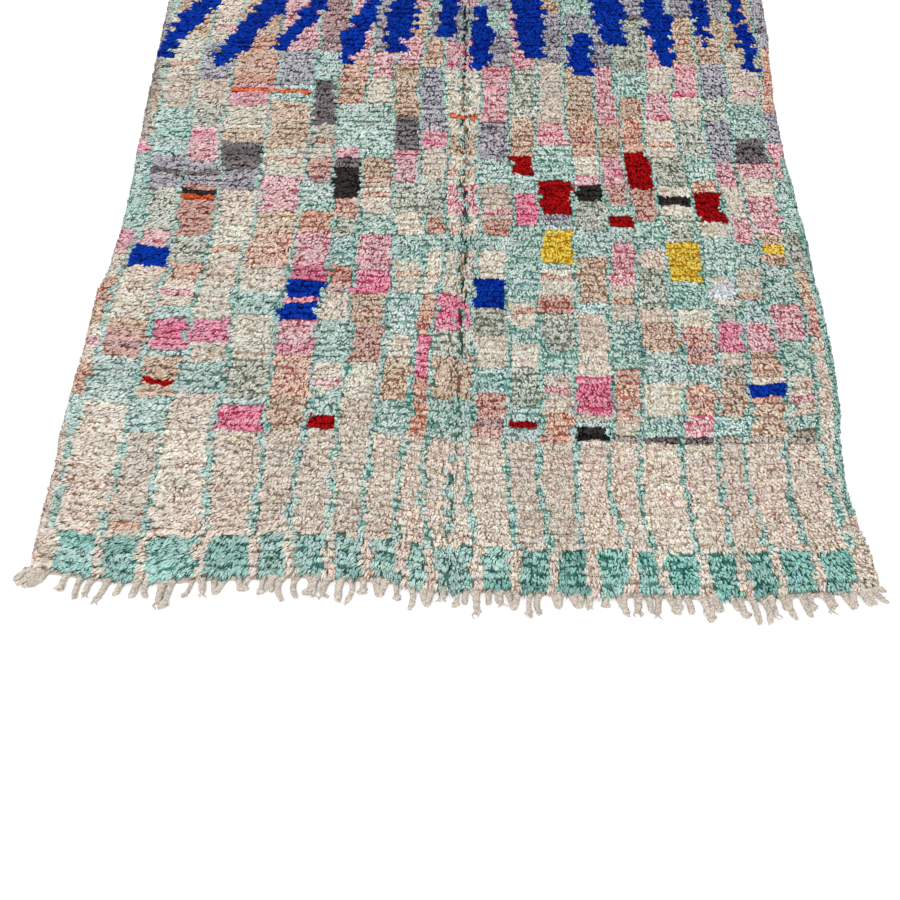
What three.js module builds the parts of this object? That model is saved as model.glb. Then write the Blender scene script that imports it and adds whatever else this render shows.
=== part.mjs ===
// A hand-knotted wool rug, lying flat: one thick cloth with an uneven outline,
// and the comb of warp tassels along its near end.
// Units are millimetres. +X runs across the rug, +Y along it away from the fringe, +Z is up.
// The origin is on the floor, in the middle of the box round the whole rug.

import * as THREE from 'three'
import { mergeVertices } from 'three/addons/utils/BufferGeometryUtils.js'

// Driving dimensions.
const rugLength = 2440 // from the near edge of the pile to the far edge
const foundationThickness = 4 // woven ground, seen bare only at the two headings
const pileTop = 22 // height of the pile's tips above the floor
const headingDepth = 12 // flat-woven strip past the pile, at each end
const edgeRound = 16 // how far in from an edge the pile reaches its full height
const sideSpill = edgeRound / 3 // its rise starts this far outside the selvedge
const endSpill = edgeRound / 4 // and this far past each end
const partingDepth = 7 // trough where the rug was folded lengthwise and its pile parts
const partingWidth = 22
const pileUnevenness = 1.6 // soft swells of the pile
// Two waves of swells cross: each has its length one way and a slow drift the other way.
const swellAcross = { length: 61, drift: 240 }
const swellAlong = { length: 83, drift: 310 }
const pieceGap = 0.3
const fringeThickness = 5
const spineDepth = 5 // the row of knots that all the tassels hang from
// Tassels along the comb: each length and width falls between the two values, and swing is how
// far a tip lies to one side of its root.
const tassels = {
  count: 74,
  firstShare: 0.006,
  lengths: [20, 50],
  rootWidths: [7, 11],
  tipWidths: [4, 7],
  swings: [-6, 6],
}
const leftCorner = { length: 20, rootWidth: 13, tipWidth: 10, swing: -20 }
const rightCorner = { length: 44, rootWidth: 13, tipWidth: 10, swing: 20 }
const columns = 28 // faces across the cloth
const rows = 56 // faces along it

// Outline of the long sides. One row for each section: along is the distance from the near
// edge of the pile, left and right are where the two selvedges run.
const sections = [
  { along: 0, left: -772, right: 771 },
  { along: 60, left: -776, right: 768 },
  { along: 130, left: -776, right: 756 },
  { along: 200, left: -775, right: 747 },
  { along: 300, left: -779, right: 751 },
  { along: 410, left: -777, right: 766 },
  { along: 550, left: -773, right: 771 },
  { along: 660, left: -774, right: 770 },
  { along: 760, left: -760, right: 765 },
  { along: 870, left: -753, right: 765 },
  { along: 1000, left: -754, right: 757 },
  { along: 1150, left: -760, right: 751 },
  { along: 1300, left: -764, right: 751 },
  { along: 1450, left: -766, right: 758 },
  { along: 1600, left: -769, right: 769 },
  { along: 1750, left: -771, right: 771 },
  { along: 1950, left: -767, right: 768 },
  { along: 2150, left: -764, right: 763 },
  { along: 2300, left: -768, right: 765 },
  { along: rugLength, left: -766, right: 764 },
]

// Outline of the near end. One row for each wave: across is measured from the middle,
// inset is how far the edge of the pile draws back from the straight line.
const nearWaves = [
  { across: -770, inset: 18 },
  { across: -608, inset: 1 },
  { across: -527, inset: -1 },
  { across: -432, inset: 9 },
  { across: -271, inset: 17 },
  { across: -133, inset: 11 },
  { across: -36, inset: -6 },
  { across: 266, inset: -12 },
  { across: 530, inset: -13 },
  { across: 639, inset: -5 },
  { across: 770, inset: 10 },
]

// Outline of the far end, which is nearly straight. Here inset is how far the edge lies past it.
const farWaves = [
  { across: -770, inset: -4 },
  { across: -380, inset: 5 },
  { across: 60, inset: -3 },
  { across: 450, inset: 4 },
  { across: 770, inset: -5 },
]

// The line along which the pile parts, as it wanders down the rug.
const parting = [
  { along: 0, across: -14 },
  { along: 400, across: 0 },
  { along: 700, across: 9 },
  { along: 1700, across: 2 },
  { along: rugLength, across: 6 },
]

const smooth = (from, to, value) => THREE.MathUtils.smoothstep(value, from, to)

// Reads a table between its rows: a curve with no kinks that stays between neighbouring rows.
function readTable(table, key, value, at) {
  let row = 1
  while (row < table.length - 1 && at > table[row][key]) row++
  const low = table[row - 1]
  const high = table[row]
  const share = smooth(low[key], high[key], at)
  return THREE.MathUtils.lerp(low[value], high[value], share)
}

// Each end's waves fade out over this length of rug.
const waveFade = 900

function placeOnRug(share, along) {
  const left = readTable(sections, 'along', 'left', along)
  const right = readTable(sections, 'along', 'right', along)
  const x = THREE.MathUtils.lerp(left, right, share)
  const near = readTable(nearWaves, 'across', 'inset', x) * (1 - smooth(0, waveFade, along))
  const far = readTable(farWaves, 'across', 'inset', x) * smooth(rugLength - waveFade, rugLength, along)
  return { x, y: along + near + far, left, right }
}

function pileHeight(x, along, left, right) {
  const inFromSide = Math.min(x - left, right - x)
  const inFromEnd = Math.min(along, rugLength - along)
  const sideRise = Math.sqrt(smooth(-sideSpill, edgeRound, inFromSide))
  const endRise = smooth(-endSpill, edgeRound, inFromEnd)
  const wideSwell = Math.sin(x / swellAcross.length + along / swellAcross.drift)
  const swells = wideSwell * Math.sin(along / swellAlong.length - x / swellAlong.drift)
  const partingAt = readTable(parting, 'along', 'across', along)
  const parted = Math.exp(-(((x - partingAt) / partingWidth) ** 2))
  const full = pileTop - foundationThickness - pileUnevenness * (1 - swells) - partingDepth * parted
  return foundationThickness + full * sideRise * endRise
}

// Moves the points of a unit box so that it becomes the cloth: share runs across it, step
// along it, and level from its underside to the tips of its pile.
function bendBox(columns, rows, shape) {
  let geometry = new THREE.BoxGeometry(1, 1, 1, columns, rows, 1)
  geometry.deleteAttribute('normal')
  geometry.deleteAttribute('uv')
  geometry = mergeVertices(geometry)
  const points = geometry.getAttribute('position')
  for (let index = 0; index < points.count; index++) {
    const place = shape(points.getX(index) + 0.5, points.getY(index) + 0.5, points.getZ(index) + 0.5)
    points.setXYZ(index, place.x, place.y, place.z)
  }
  geometry.computeVertexNormals()
  return geometry
}

// Crowds even steps from 0 to 1 towards both ends, or towards both ends and the middle.
const crowding = 0.9
const crowdEnds = (share) => share - (crowding * Math.sin(2 * Math.PI * share)) / (2 * Math.PI)
const crowdMiddle = (share) => share - (crowding * Math.sin(4 * Math.PI * share)) / (4 * Math.PI)

// Rows crowd towards both ends, and columns towards both sides and the parting.
function rugGeometry() {
  return bendBox(columns, rows, (share, step, level) => {
    const along = THREE.MathUtils.lerp(-headingDepth, rugLength + headingDepth, crowdEnds(step))
    const place = placeOnRug(crowdMiddle(share), THREE.MathUtils.clamp(along, 0, rugLength))
    const pastEnd = along - THREE.MathUtils.clamp(along, 0, rugLength)
    const z = level > 0.5 ? pileHeight(place.x, along, place.left, place.right) : 0
    return { x: place.x, y: place.y + pastEnd, z }
  })
}

// A scatter turns an index into a share from 0 to 1 that is the same each time: the fraction of
// a large sine.
const lengthScatter = { stride: 12.9898, size: 43758.5453 }
const widthScatter = { stride: 78.233, size: 12543.1234 }
const scattered = (index, scatter) => {
  const value = Math.sin(index * scatter.stride) * scatter.size
  return value - Math.floor(value)
}

// One tassel: where it leaves the spine, how long and wide it is, and how far its tip swings.
function tassel(index) {
  const last = tassels.count - 1
  const share = THREE.MathUtils.lerp(tassels.firstShare, 1 - tassels.firstShare, index / last)
  if (index === 0) return { share, ...leftCorner }
  if (index === last) return { share, ...rightCorner }
  const byLength = scattered(index, lengthScatter)
  const byWidth = scattered(index, widthScatter)
  return {
    share,
    length: THREE.MathUtils.lerp(...tassels.lengths, byLength),
    rootWidth: THREE.MathUtils.lerp(...tassels.rootWidths, byWidth),
    tipWidth: THREE.MathUtils.lerp(...tassels.tipWidths, byLength),
    swing: THREE.MathUtils.lerp(...tassels.swings, byWidth),
  }
}

function nearEdge(share) {
  const place = placeOnRug(share, 0)
  return { x: place.x, y: place.y - headingDepth - pieceGap }
}

// The comb is an outline cut from flat felt: out along the tassels, back along the spine.
function fringeGeometry() {
  const outline = new THREE.Shape()
  const start = nearEdge(0)
  outline.moveTo(start.x, start.y)
  for (let index = 0; index < tassels.count; index++) {
    const one = tassel(index)
    const root = nearEdge(one.share)
    const spine = root.y - spineDepth
    const half = one.rootWidth / 2
    const tip = { x: root.x + one.swing, y: spine - one.length }
    outline.lineTo(root.x - half, spine)
    outline.lineTo(tip.x - one.tipWidth / 2, tip.y + one.tipWidth / 2)
    outline.lineTo(tip.x, tip.y)
    outline.lineTo(tip.x + one.tipWidth / 2, tip.y + one.tipWidth / 2)
    outline.lineTo(root.x + half, spine)
  }
  for (let column = columns; column > 0; column--) {
    const back = nearEdge(crowdMiddle(column / columns))
    outline.lineTo(back.x, back.y)
  }
  const flat = { depth: fringeThickness, bevelEnabled: false }
  return mergeVertices(bareGeometry(new THREE.ExtrudeGeometry(outline, flat)))
}

function bareGeometry(geometry) {
  geometry.deleteAttribute('normal')
  geometry.deleteAttribute('uv')
  return geometry
}

const wool = new THREE.MeshStandardMaterial({ color: 0xb9c9bd, roughness: 0.95, metalness: 0 })
const warpYarn = new THREE.MeshStandardMaterial({ color: 0xcfc5b8, roughness: 0.95, metalness: 0 })

function namedMesh(name, geometry, material) {
  const mesh = new THREE.Mesh(geometry, material)
  mesh.name = name
  return mesh
}

const rug = new THREE.Group()
rug.add(namedMesh('rug', rugGeometry(), wool))
rug.add(namedMesh('near_fringe', fringeGeometry(), warpYarn))

// Sets the origin on the floor in the middle of the whole.
const whole = new THREE.Box3().setFromObject(rug)
const middle = whole.getCenter(new THREE.Vector3())
rug.position.set(-middle.x, -middle.y, 0)

export default rug
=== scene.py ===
# A hand-knotted wool rug lying flat on a pale floor: its woven ground, its shaggy pile knot by
# knot, and the twisted warp tassels along its near end. The scene is in metres with +Z up, and
# the values below are in millimetres, degrees, knots or shares unless a note says otherwise.
# A place on the rug is along, from the near edge of the pile, and across, from the middle.
import math

import bpy
import numpy as np
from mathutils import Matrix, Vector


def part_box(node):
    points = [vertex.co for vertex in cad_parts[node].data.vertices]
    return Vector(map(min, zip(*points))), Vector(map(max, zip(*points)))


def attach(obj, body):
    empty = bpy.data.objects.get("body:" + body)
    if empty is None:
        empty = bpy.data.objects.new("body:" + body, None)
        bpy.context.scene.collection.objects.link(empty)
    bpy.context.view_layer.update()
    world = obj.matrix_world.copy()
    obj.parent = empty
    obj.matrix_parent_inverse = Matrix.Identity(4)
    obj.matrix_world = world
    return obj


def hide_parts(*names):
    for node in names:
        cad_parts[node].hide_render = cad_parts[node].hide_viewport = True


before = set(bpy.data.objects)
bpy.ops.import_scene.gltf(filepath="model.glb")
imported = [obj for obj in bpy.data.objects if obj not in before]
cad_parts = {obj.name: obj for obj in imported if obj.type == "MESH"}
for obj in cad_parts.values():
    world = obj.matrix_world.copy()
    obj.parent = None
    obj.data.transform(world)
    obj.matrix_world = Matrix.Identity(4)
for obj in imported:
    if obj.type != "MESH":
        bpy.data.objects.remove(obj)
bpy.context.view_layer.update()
print("frame loaded")

# The rug's size, and how uneven it lies.
rug = {
    "length": 2440,  # near edge of the pile to the far edge
    "width": 1540,
    "heading": 12,  # flat-woven strip past the pile at each end
    "waveFade": 900,  # each end's waves fade out over this length
    "groundTop": 4,  # how thick the woven ground is
    "partingWidth": 21,  # how far from the fold its parted pile shows
    "wideSwell": {"length": 61, "drift": 240},  # two waves that cross: each one's length, and
    "longSwell": {"length": 83, "drift": 310},  # how slowly it drifts aside
}
sections = [  # a row for each section: where the two selvedges run
    {"along": 0, "left": -772, "right": 771},
    {"along": 60, "left": -776, "right": 768},
    {"along": 130, "left": -776, "right": 756},
    {"along": 200, "left": -775, "right": 747},
    {"along": 300, "left": -779, "right": 751},
    {"along": 410, "left": -777, "right": 766},
    {"along": 550, "left": -773, "right": 771},
    {"along": 660, "left": -774, "right": 770},
    {"along": 760, "left": -760, "right": 765},
    {"along": 870, "left": -753, "right": 765},
    {"along": 1000, "left": -754, "right": 757},
    {"along": 1150, "left": -760, "right": 751},
    {"along": 1300, "left": -764, "right": 751},
    {"along": 1450, "left": -766, "right": 758},
    {"along": 1600, "left": -769, "right": 769},
    {"along": 1750, "left": -771, "right": 771},
    {"along": 1950, "left": -767, "right": 768},
    {"along": 2150, "left": -764, "right": 763},
    {"along": 2300, "left": -768, "right": 765},
    {"along": 2440, "left": -766, "right": 764},
]
nearWaves = [  # how far the near edge draws back from the straight line
    {"across": -770, "inset": 18},
    {"across": -608, "inset": 1},
    {"across": -527, "inset": -1},
    {"across": -432, "inset": 9},
    {"across": -271, "inset": 17},
    {"across": -133, "inset": 11},
    {"across": -36, "inset": -6},
    {"across": 266, "inset": -12},
    {"across": 530, "inset": -13},
    {"across": 639, "inset": -5},
    {"across": 770, "inset": 10},
]
farWaves = [  # how far the far edge lies past its straight line
    {"across": -770, "past": -4},
    {"across": -380, "past": 5},
    {"across": 60, "past": -3},
    {"across": 450, "past": 4},
    {"across": 770, "past": -5},
]
parting = [  # the line of the lengthwise fold, where the pile parts, and how far it opens
    {"along": 0, "across": -14, "open": 0.35},
    {"along": 400, "across": 0, "open": 0.5},
    {"along": 700, "across": 9, "open": 1},
    {"along": 1700, "across": 2, "open": 0.9},
    {"along": 2440, "across": 6, "open": 0.7},
]
partingStrays = [  # waves in which the fold strays from that line
    {"swing": 2.2, "length": 21},
    {"swing": 1.8, "length": 8.3},
]


def smoothStep(low, high, value):
    # 0 below low, 1 above high, and a soft cubic rise between them
    share = np.clip((value - low) / (high - low), 0, 1)
    return share * share * (3 - 2 * share)


def blend(low, high, share):
    # low where share is 0, high where it is 1
    return low + (high - low) * share


def bump(value, width):
    # 1 at 0, falling softly to nothing on both sides
    return np.exp(-((value / width) ** 2))


def readTable(table, key, value, at):
    # each place takes a soft step from the row below it to the row above it
    keys = np.array([row[key] for row in table], float)
    values = np.array([row[value] for row in table], float)
    row = np.clip(np.searchsorted(keys, at), 1, len(keys) - 1)
    share = smoothStep(keys[row - 1], keys[row], at)
    return blend(values[row - 1], values[row], share)


# The CAD model's origin is in the middle of its box; this shift takes the tables there.
rugLow = np.array(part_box("rug")[0]) * 1000
tableLow = np.array([
    min(row["left"] for row in sections),
    min(row["inset"] for row in nearWaves) - rug["heading"],
])
shift = rugLow[:2] - tableLow


def placeOnRug(share, along):
    # share runs from selvedge to selvedge: across is left + (right - left) * share, and along
    # moves by each end's wave, which fades in towards that end
    inside = np.clip(along, 0, rug["length"])
    left = readTable(sections, "along", "left", inside)
    right = readTable(sections, "along", "right", inside)
    across = blend(left, right, share)
    near = readTable(nearWaves, "across", "inset", across)
    far = readTable(farWaves, "across", "past", across)
    nearShare = 1 - smoothStep(0, rug["waveFade"], inside)
    farShare = smoothStep(rug["length"] - rug["waveFade"], rug["length"], inside)
    return across, along + near * nearShare + far * farShare


def intoFrame(across, alongNow, height):
    # millimetres on the rug to metres in the shared frame
    return np.stack([across + shift[0], alongNow + shift[1], height], -1) / 1000


def swell(across, along):
    # two sine waves multiplied, from -1 to 1: the slight unevenness of a rug that was folded
    wide, long = rug["wideSwell"], rug["longSwell"]
    wideWave = np.sin(across / wide["length"] + along / wide["drift"])
    return wideWave * np.sin(along / long["length"] - across / long["drift"])


def fromParting(across, along):
    # distance to the fold line, negative on its left; the line strays a little from its table
    stray = sum(wave["swing"] * np.sin(along / wave["length"]) for wave in partingStrays)
    return across - readTable(parting, "along", "across", along) - stray


def openedFold(across, along, width, most=1):
    # how far the fold is open at each place: most on its line, fading out over a width
    opened = readTable(parting, "along", "open", along)
    return most * opened * bump(fromParting(across, along), width)


# Which wool each knot is tied in.
chart = {
    "columns": 190,
    "rows": 152,
    "seed": 7,
    "borderRows": 5,
    "bandRows": 15,
    "lineWidths": [1, 2],  # a teal line is this many knots wide
    "lineShares": [0.65, 0.35],
    "thinFrom": 62,  # past this row every line is one knot wide
    "lineSways": [  # how many knots a teal line sways, and over how many rows
        {"knots": 0.9, "rows": 14},
        {"knots": 0.45, "rows": 4.3},
    ],
    "lineJitter": 0.3,
    "swayRows": 3,  # lines begin to sway over so many rows past the border
    "coolThenWarm": 0.85,  # chance that a warm wool follows a cool one up a field
    "newLevelsEvery": 4,  # blocks change at about the same rows in so many neighbouring fields
    "streakChance": 0.5,  # chance that a single row of another wool runs through a block
    "streakOver": 3,  # which has more rows than this
    "cornerKnots": 4,  # cream knots at the border's corners
    "hemKnots": 2,  # the right hem's width, and its first and last row
    "hemRows": [9, 69],
    "leftHemKnots": 3,
    "leftHemRows": [73, 103],
    "strokeEnds": 0.6,  # a stroke's width at its ends, as a share of its middle's
    "strokeSpread": 0.8,  # how far its width strays from row to row, and its middle
    "strokeJitter": 1.1,
    "foldReach": 10,  # strands of teal lie along the fold, this near to it
    "foldTeal": 0.4,
}
# Dyed wools, as screen colours from 0 to 255: each strand is washed pale at its tip and keeps
# its deep dye at the root.
wools = {
    "teal": {"tip": (202, 226, 220), "body": (122, 190, 178), "root": (0, 98, 82)},
    "paleTeal": {"tip": (204, 225, 219), "body": (150, 202, 191), "root": (0, 106, 88)},
    "mint": {"tip": (220, 232, 226), "body": (186, 219, 208), "root": (4, 122, 102)},
    "ice": {"tip": (222, 233, 228), "body": (190, 219, 210), "root": (8, 120, 114)},
    "sage": {"tip": (224, 224, 213), "body": (196, 200, 185), "root": (70, 94, 66)},
    "cream": {"tip": (229, 222, 211), "body": (238, 228, 213), "root": (168, 106, 54)},
    "ivory": {"tip": (234, 232, 223), "body": (240, 235, 219), "root": (184, 138, 80)},
    "peach": {"tip": (238, 215, 198), "body": (229, 182, 155), "root": (180, 60, 30)},
    "rose": {"tip": (232, 202, 190), "body": (213, 156, 138), "root": (156, 22, 18)},
    "palePink": {"tip": (243, 214, 215), "body": (235, 180, 189), "root": (200, 28, 66)},
    "hotPink": {"tip": (247, 186, 203), "body": (236, 120, 154), "root": (190, 0, 62)},
    "mauve": {"tip": (212, 186, 184), "body": (182, 138, 138), "root": (98, 12, 32)},
    "taupe": {"tip": (208, 199, 188), "body": (166, 155, 142), "root": (80, 68, 54)},
    "beige": {"tip": (231, 213, 194), "body": (214, 187, 160), "root": (148, 80, 42)},
    "grey": {"tip": (206, 203, 209), "body": (164, 159, 169), "root": (46, 34, 70)},
    "charcoal": {"tip": (156, 147, 148), "body": (98, 91, 93), "root": (28, 23, 28)},
    "black": {"tip": (66, 60, 60), "body": (30, 26, 26), "root": (8, 6, 6)},
    "cobalt": {"tip": (6, 64, 182), "body": (2, 42, 160), "root": (0, 18, 112)},
    "crimson": {"tip": (182, 14, 20), "body": (150, 4, 8), "root": (92, 0, 4)},
    "yellow": {"tip": (250, 224, 104), "body": (236, 192, 44), "root": (200, 134, 8)},
    "orange": {"tip": (242, 150, 108), "body": (228, 80, 30), "root": (206, 40, 6)},
    "white": {"tip": (240, 239, 244), "body": (232, 230, 238), "root": (186, 182, 188)},
}
woolNumber = {name: number for number, name in enumerate(wools)}
coolWools = ["mint", "ice", "sage"]
softWools = [woolNumber[name] for name in ("cream", "ivory", "white")]  # the undyed ones
knotPitch = rug["width"] / chart["columns"]
rowPitch = rug["length"] / chart["rows"]
allRows = np.arange(chart["rows"])[:, None]
allColumns = np.arange(chart["columns"])[None, :]
knotPlaces = placeOnRug((allColumns + 0.5) / chart["columns"], (allRows + 0.5) * rowPitch)
# The widths of the border's blocks, in knots, from the left selvedge to the right.
borderWidths = [5, 11, 10, 12, 12, 9, 8, 9, 8, 6, 10, 9, 8, 9, 9, 7, 9, 9, 8, 8, 9, 5]
# How much of each zone is each wool, how many rows its blocks take, and the chance that a cool
# wool follows a warm one up a field. Zones run from the band towards the far end.
zones = [
    {"toRow": 46, "blocks": [4, 5, 6, 7], "cools": 0.45, "wools": {
        "mint": 14, "ice": 12, "sage": 8, "ivory": 36, "cream": 16, "peach": 14, "rose": 7,
        "palePink": 8, "hotPink": 4, "mauve": 3, "beige": 8}},
    {"toRow": 62, "blocks": [4, 5, 6, 8], "cools": 0.42, "wools": {
        "mint": 14, "ice": 10, "sage": 9, "ivory": 26, "cream": 16, "peach": 14, "beige": 9,
        "palePink": 12, "hotPink": 5, "rose": 4, "grey": 4}},
    {"toRow": 88, "blocks": [6, 8, 10, 13], "cools": 0.2, "wools": {
        "mint": 9, "ice": 3, "sage": 4, "ivory": 16, "cream": 8, "beige": 14, "peach": 10,
        "palePink": 36, "grey": 16, "charcoal": 2, "rose": 3}},
    {"toRow": 122, "blocks": [8, 10, 13, 16], "cools": 0.16, "wools": {
        "mint": 9, "ice": 2, "sage": 3, "palePink": 32, "grey": 30, "beige": 12, "mauve": 5,
        "cream": 5}},
    {"toRow": 152, "blocks": [5, 6, 7, 8], "cools": 0.4, "wools": {
        "mint": 24, "ice": 8, "sage": 16, "ivory": 14, "cream": 12, "beige": 14, "palePink": 12}},
]
# Small blocks of strong colour. field counts the strips between teal lines from the left.
accents = [
    {"field": 5, "row": 38, "rows": 7, "wool": "cobalt"},
    {"field": 5, "row": 41, "rows": 1, "wool": "hotPink"},
    {"field": 1, "row": 47, "rows": 4, "wool": "cobalt"},
    {"field": 11, "row": 41, "rows": 5, "wool": "cobalt"},
    {"field": 19, "row": 27, "rows": 2, "wool": "cobalt"},
    {"field": 6, "row": 20, "rows": 2, "wool": "crimson"},
    {"field": 2, "row": 27, "rows": 1, "wool": "crimson"},
    {"field": 12, "row": 22, "rows": 1, "wool": "crimson"},
    {"field": 12, "row": 66, "rows": 4, "wool": "crimson"},
    {"field": 13, "row": 58, "rows": 7, "wool": "crimson"},
    {"field": 16, "row": 63, "rows": 8, "wool": "crimson"},
    {"field": 18, "row": 57, "rows": 6, "wool": "crimson"},
    {"field": 15, "row": 56, "rows": 2, "wool": "crimson"},
    {"field": 14, "row": 61, "rows": 3, "wool": "black"},
    {"field": 17, "row": 60, "rows": 2, "wool": "black"},
    {"field": 17, "row": 46, "rows": 7, "wool": "yellow"},
    {"field": 13, "row": 49, "rows": 6, "wool": "yellow"},
    {"field": 20, "row": 51, "rows": 2, "wool": "yellow"},
    {"field": 4, "row": 20, "rows": 4, "wool": "hotPink"},
    {"field": 9, "row": 29, "rows": 7, "wool": "hotPink"},
    {"field": 2, "row": 33, "rows": 5, "wool": "hotPink"},
    {"field": 14, "row": 24, "rows": 6, "wool": "hotPink"},
    {"field": 18, "row": 34, "rows": 5, "wool": "hotPink"},
    {"field": 15, "row": 45, "rows": 8, "wool": "palePink"},
    {"field": 6, "row": 61, "rows": 6, "wool": "black"},
    {"field": 6, "row": 67, "rows": 2, "wool": "charcoal"},
    {"field": 3, "row": 66, "rows": 6, "wool": "charcoal"},
    {"field": 8, "row": 71, "rows": 7, "wool": "charcoal"},
    {"field": 5, "row": 76, "rows": 6, "wool": "charcoal"},
    {"field": 20, "row": 69, "rows": 5, "wool": "charcoal"},
    {"field": 2, "row": 61, "rows": 1, "wool": "black"},
    {"field": 2, "row": 60, "rows": 1, "wool": "orange"},
    {"field": 3, "row": 83, "rows": 1, "wool": "orange"},
    {"field": 10, "row": 78, "rows": 1, "wool": "orange"},
    {"field": 4, "row": 83, "rows": 1, "wool": "orange"},
    {"field": 18, "row": 43, "rows": 3, "wool": "white"},
    {"field": 2, "row": 6, "rows": 1, "wool": "peach"},
    {"field": 14, "row": 20, "rows": 2, "wool": "black"},
    {"field": 15, "row": 20, "rows": 1, "wool": "taupe"},
    {"field": 16, "row": 20, "rows": 1, "wool": "charcoal"},
    {"field": 17, "row": 20, "rows": 1, "wool": "charcoal"},
    {"field": 18, "row": 20, "rows": 1, "wool": "taupe"},
    {"field": 19, "row": 20, "rows": 1, "wool": "taupe"},
    {"field": 20, "row": 20, "rows": 2, "wool": "taupe"},
]
# Cobalt strokes in the far zone, each from one knot to another: slanting on the left,
# hanging like drips on the right.
strokes = [
    {"column": 2, "row": 91, "toColumn": 20, "toRow": 112, "knots": 8},
    {"column": 21, "row": 89, "toColumn": 38, "toRow": 108, "knots": 9},
    {"column": 39, "row": 93, "toColumn": 55, "toRow": 112, "knots": 7},
    {"column": 59, "row": 90, "toColumn": 66, "toRow": 106, "knots": 7},
    {"column": 74, "row": 93, "toColumn": 78, "toRow": 112, "knots": 9},
    {"column": 90, "row": 97, "toColumn": 91, "toRow": 110, "knots": 6},
    {"column": 101, "row": 89, "toColumn": 100, "toRow": 104, "knots": 7},
    {"column": 117, "row": 92, "toColumn": 114, "toRow": 113, "knots": 9},
    {"column": 132, "row": 88, "toColumn": 131, "toRow": 97, "knots": 8},
    {"column": 142, "row": 95, "toColumn": 139, "toRow": 112, "knots": 10},
    {"column": 158, "row": 90, "toColumn": 154, "toRow": 110, "knots": 8},
    {"column": 171, "row": 95, "toColumn": 168, "toRow": 108, "knots": 4},
    {"column": 184, "row": 89, "toColumn": 180, "toRow": 108, "knots": 4},
]


def toLight(screen):
    # screen colours from 0 to 255 become amounts of light from 0 to 1, by the usual curve: a
    # straight line near black, and above it ((value + 0.055) / 1.055) to the power of 2.4
    value = np.asarray(screen, float) / 255
    return np.where(value <= 0.04045, value / 12.92, ((value + 0.055) / 1.055) ** 2.4)


def wanderingLines(chance):
    # teal lines start at the border's gaps and sway a knot or so as they run up the rug, by a
    # sum of sine waves and a jitter; each row of a line covers one or two knots
    starts = np.cumsum(borderWidths)[:-1].astype(float)
    phase = chance.uniform(0, 2 * np.pi, (len(chart["lineSways"]), len(starts)))
    sway = sum(wave["knots"] * np.sin(allRows / wave["rows"] + phase[n])
               for n, wave in enumerate(chart["lineSways"]))
    sway = sway + chance.uniform(-chart["lineJitter"], chart["lineJitter"], sway.shape)
    widths = chance.choice(chart["lineWidths"], sway.shape, p=chart["lineShares"])
    widths = np.where(allRows < chart["thinFrom"], widths, 1)
    middles = starts + sway * smoothStep(0, chart["borderRows"] + chart["swayRows"], allRows)
    return np.round(middles - widths / 2), widths


def zoneAt(row):
    # the first zone that ends past this row
    return next(zone for zone in zones if min(row, chart["rows"] - 1) < zone["toRow"])


def blockRows(chance):
    # the rows at which blocks change, about level right across the rug
    rows = [chart["borderRows"] + chart["bandRows"]]
    while rows[-1] < chart["rows"]:
        rows.append(rows[-1] + int(chance.choice(zoneAt(rows[-1])["blocks"])))
    return rows


# The wool of the single row that runs through some blocks.
streakOf = {"peach": "rose", "rose": "mauve", "ivory": "peach", "beige": "peach",
            "palePink": "hotPink", "grey": "charcoal", "cream": "palePink", "mauve": "charcoal"}


def fillFields(chance, fields):
    # each field is stacked with blocks, where cool wools and warm ones take turns
    filled = np.zeros((chart["rows"], fields), int)
    blockNumber = np.zeros((chart["rows"], fields), int)
    levels = blockRows(chance)
    count = 0
    for field in range(fields):
        if field % chart["newLevelsEvery"] == 0:
            levels = blockRows(chance)
        moved = [level + int(chance.integers(-1, 2)) for level in levels]  # a row up or down
        moved[0] = levels[0]
        cool = field % 2 == 0
        before = ""
        for low, high in zip(moved[:-1], moved[1:]):
            zone = zoneAt(low)["wools"]
            names = [name for name in zone if (name in coolWools) == cool and name != before]
            weights = np.array([zone[name] for name in names], float)
            wool = str(chance.choice(names, p=weights / weights.sum()))
            filled[low:high, field] = woolNumber[wool]
            count += 1
            blockNumber[low:high, field] = count
            tall = high - low > chart["streakOver"]
            if chance.random() < chart["streakChance"] and tall and wool in streakOf:
                streak = low + int(chance.integers(0, high - low - 1))
                filled[streak:streak + 1, field] = woolNumber[streakOf[wool]]
            turns = chart["coolThenWarm"] if cool else zoneAt(high)["cools"]
            cool = cool != (chance.random() < turns)
            before = wool
    plain = chart["borderRows"] + chart["bandRows"]
    filled[:plain] = woolNumber["cream"]
    filled[-plain:] = woolNumber["cream"]
    for accent in accents:
        rows = slice(accent["row"], accent["row"] + accent["rows"])
        filled[rows, accent["field"]] = woolNumber[accent["wool"]]
    return filled, blockNumber


def drawLines(knots, filled, field, onLine):
    # a teal line shows unless the fields on both sides of it are the same cool wool
    rightWool = np.take_along_axis(filled, np.minimum(field + 1, len(borderWidths) - 1), 1)
    cool = np.isin(knots, [woolNumber[name] for name in coolWools])
    knots[onLine & ~(cool & (knots == rightWool))] = woolNumber["paleTeal"]


def drawBorder(knots, onLine, fromEnd):
    # teal blocks with cream gaps and corners
    fromSide = np.minimum(allColumns, chart["columns"] - 1 - allColumns)
    gap = onLine | np.roll(onLine, 1, 1) | (fromSide < chart["cornerKnots"])
    border = np.where(gap, woolNumber["cream"], woolNumber["teal"])
    knots[:] = np.where(fromEnd < chart["borderRows"], border, knots)


def rowsFrom(low, high):
    # true in the rows from low to high, both of them included
    return (allRows >= low) & (allRows <= high)


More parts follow.
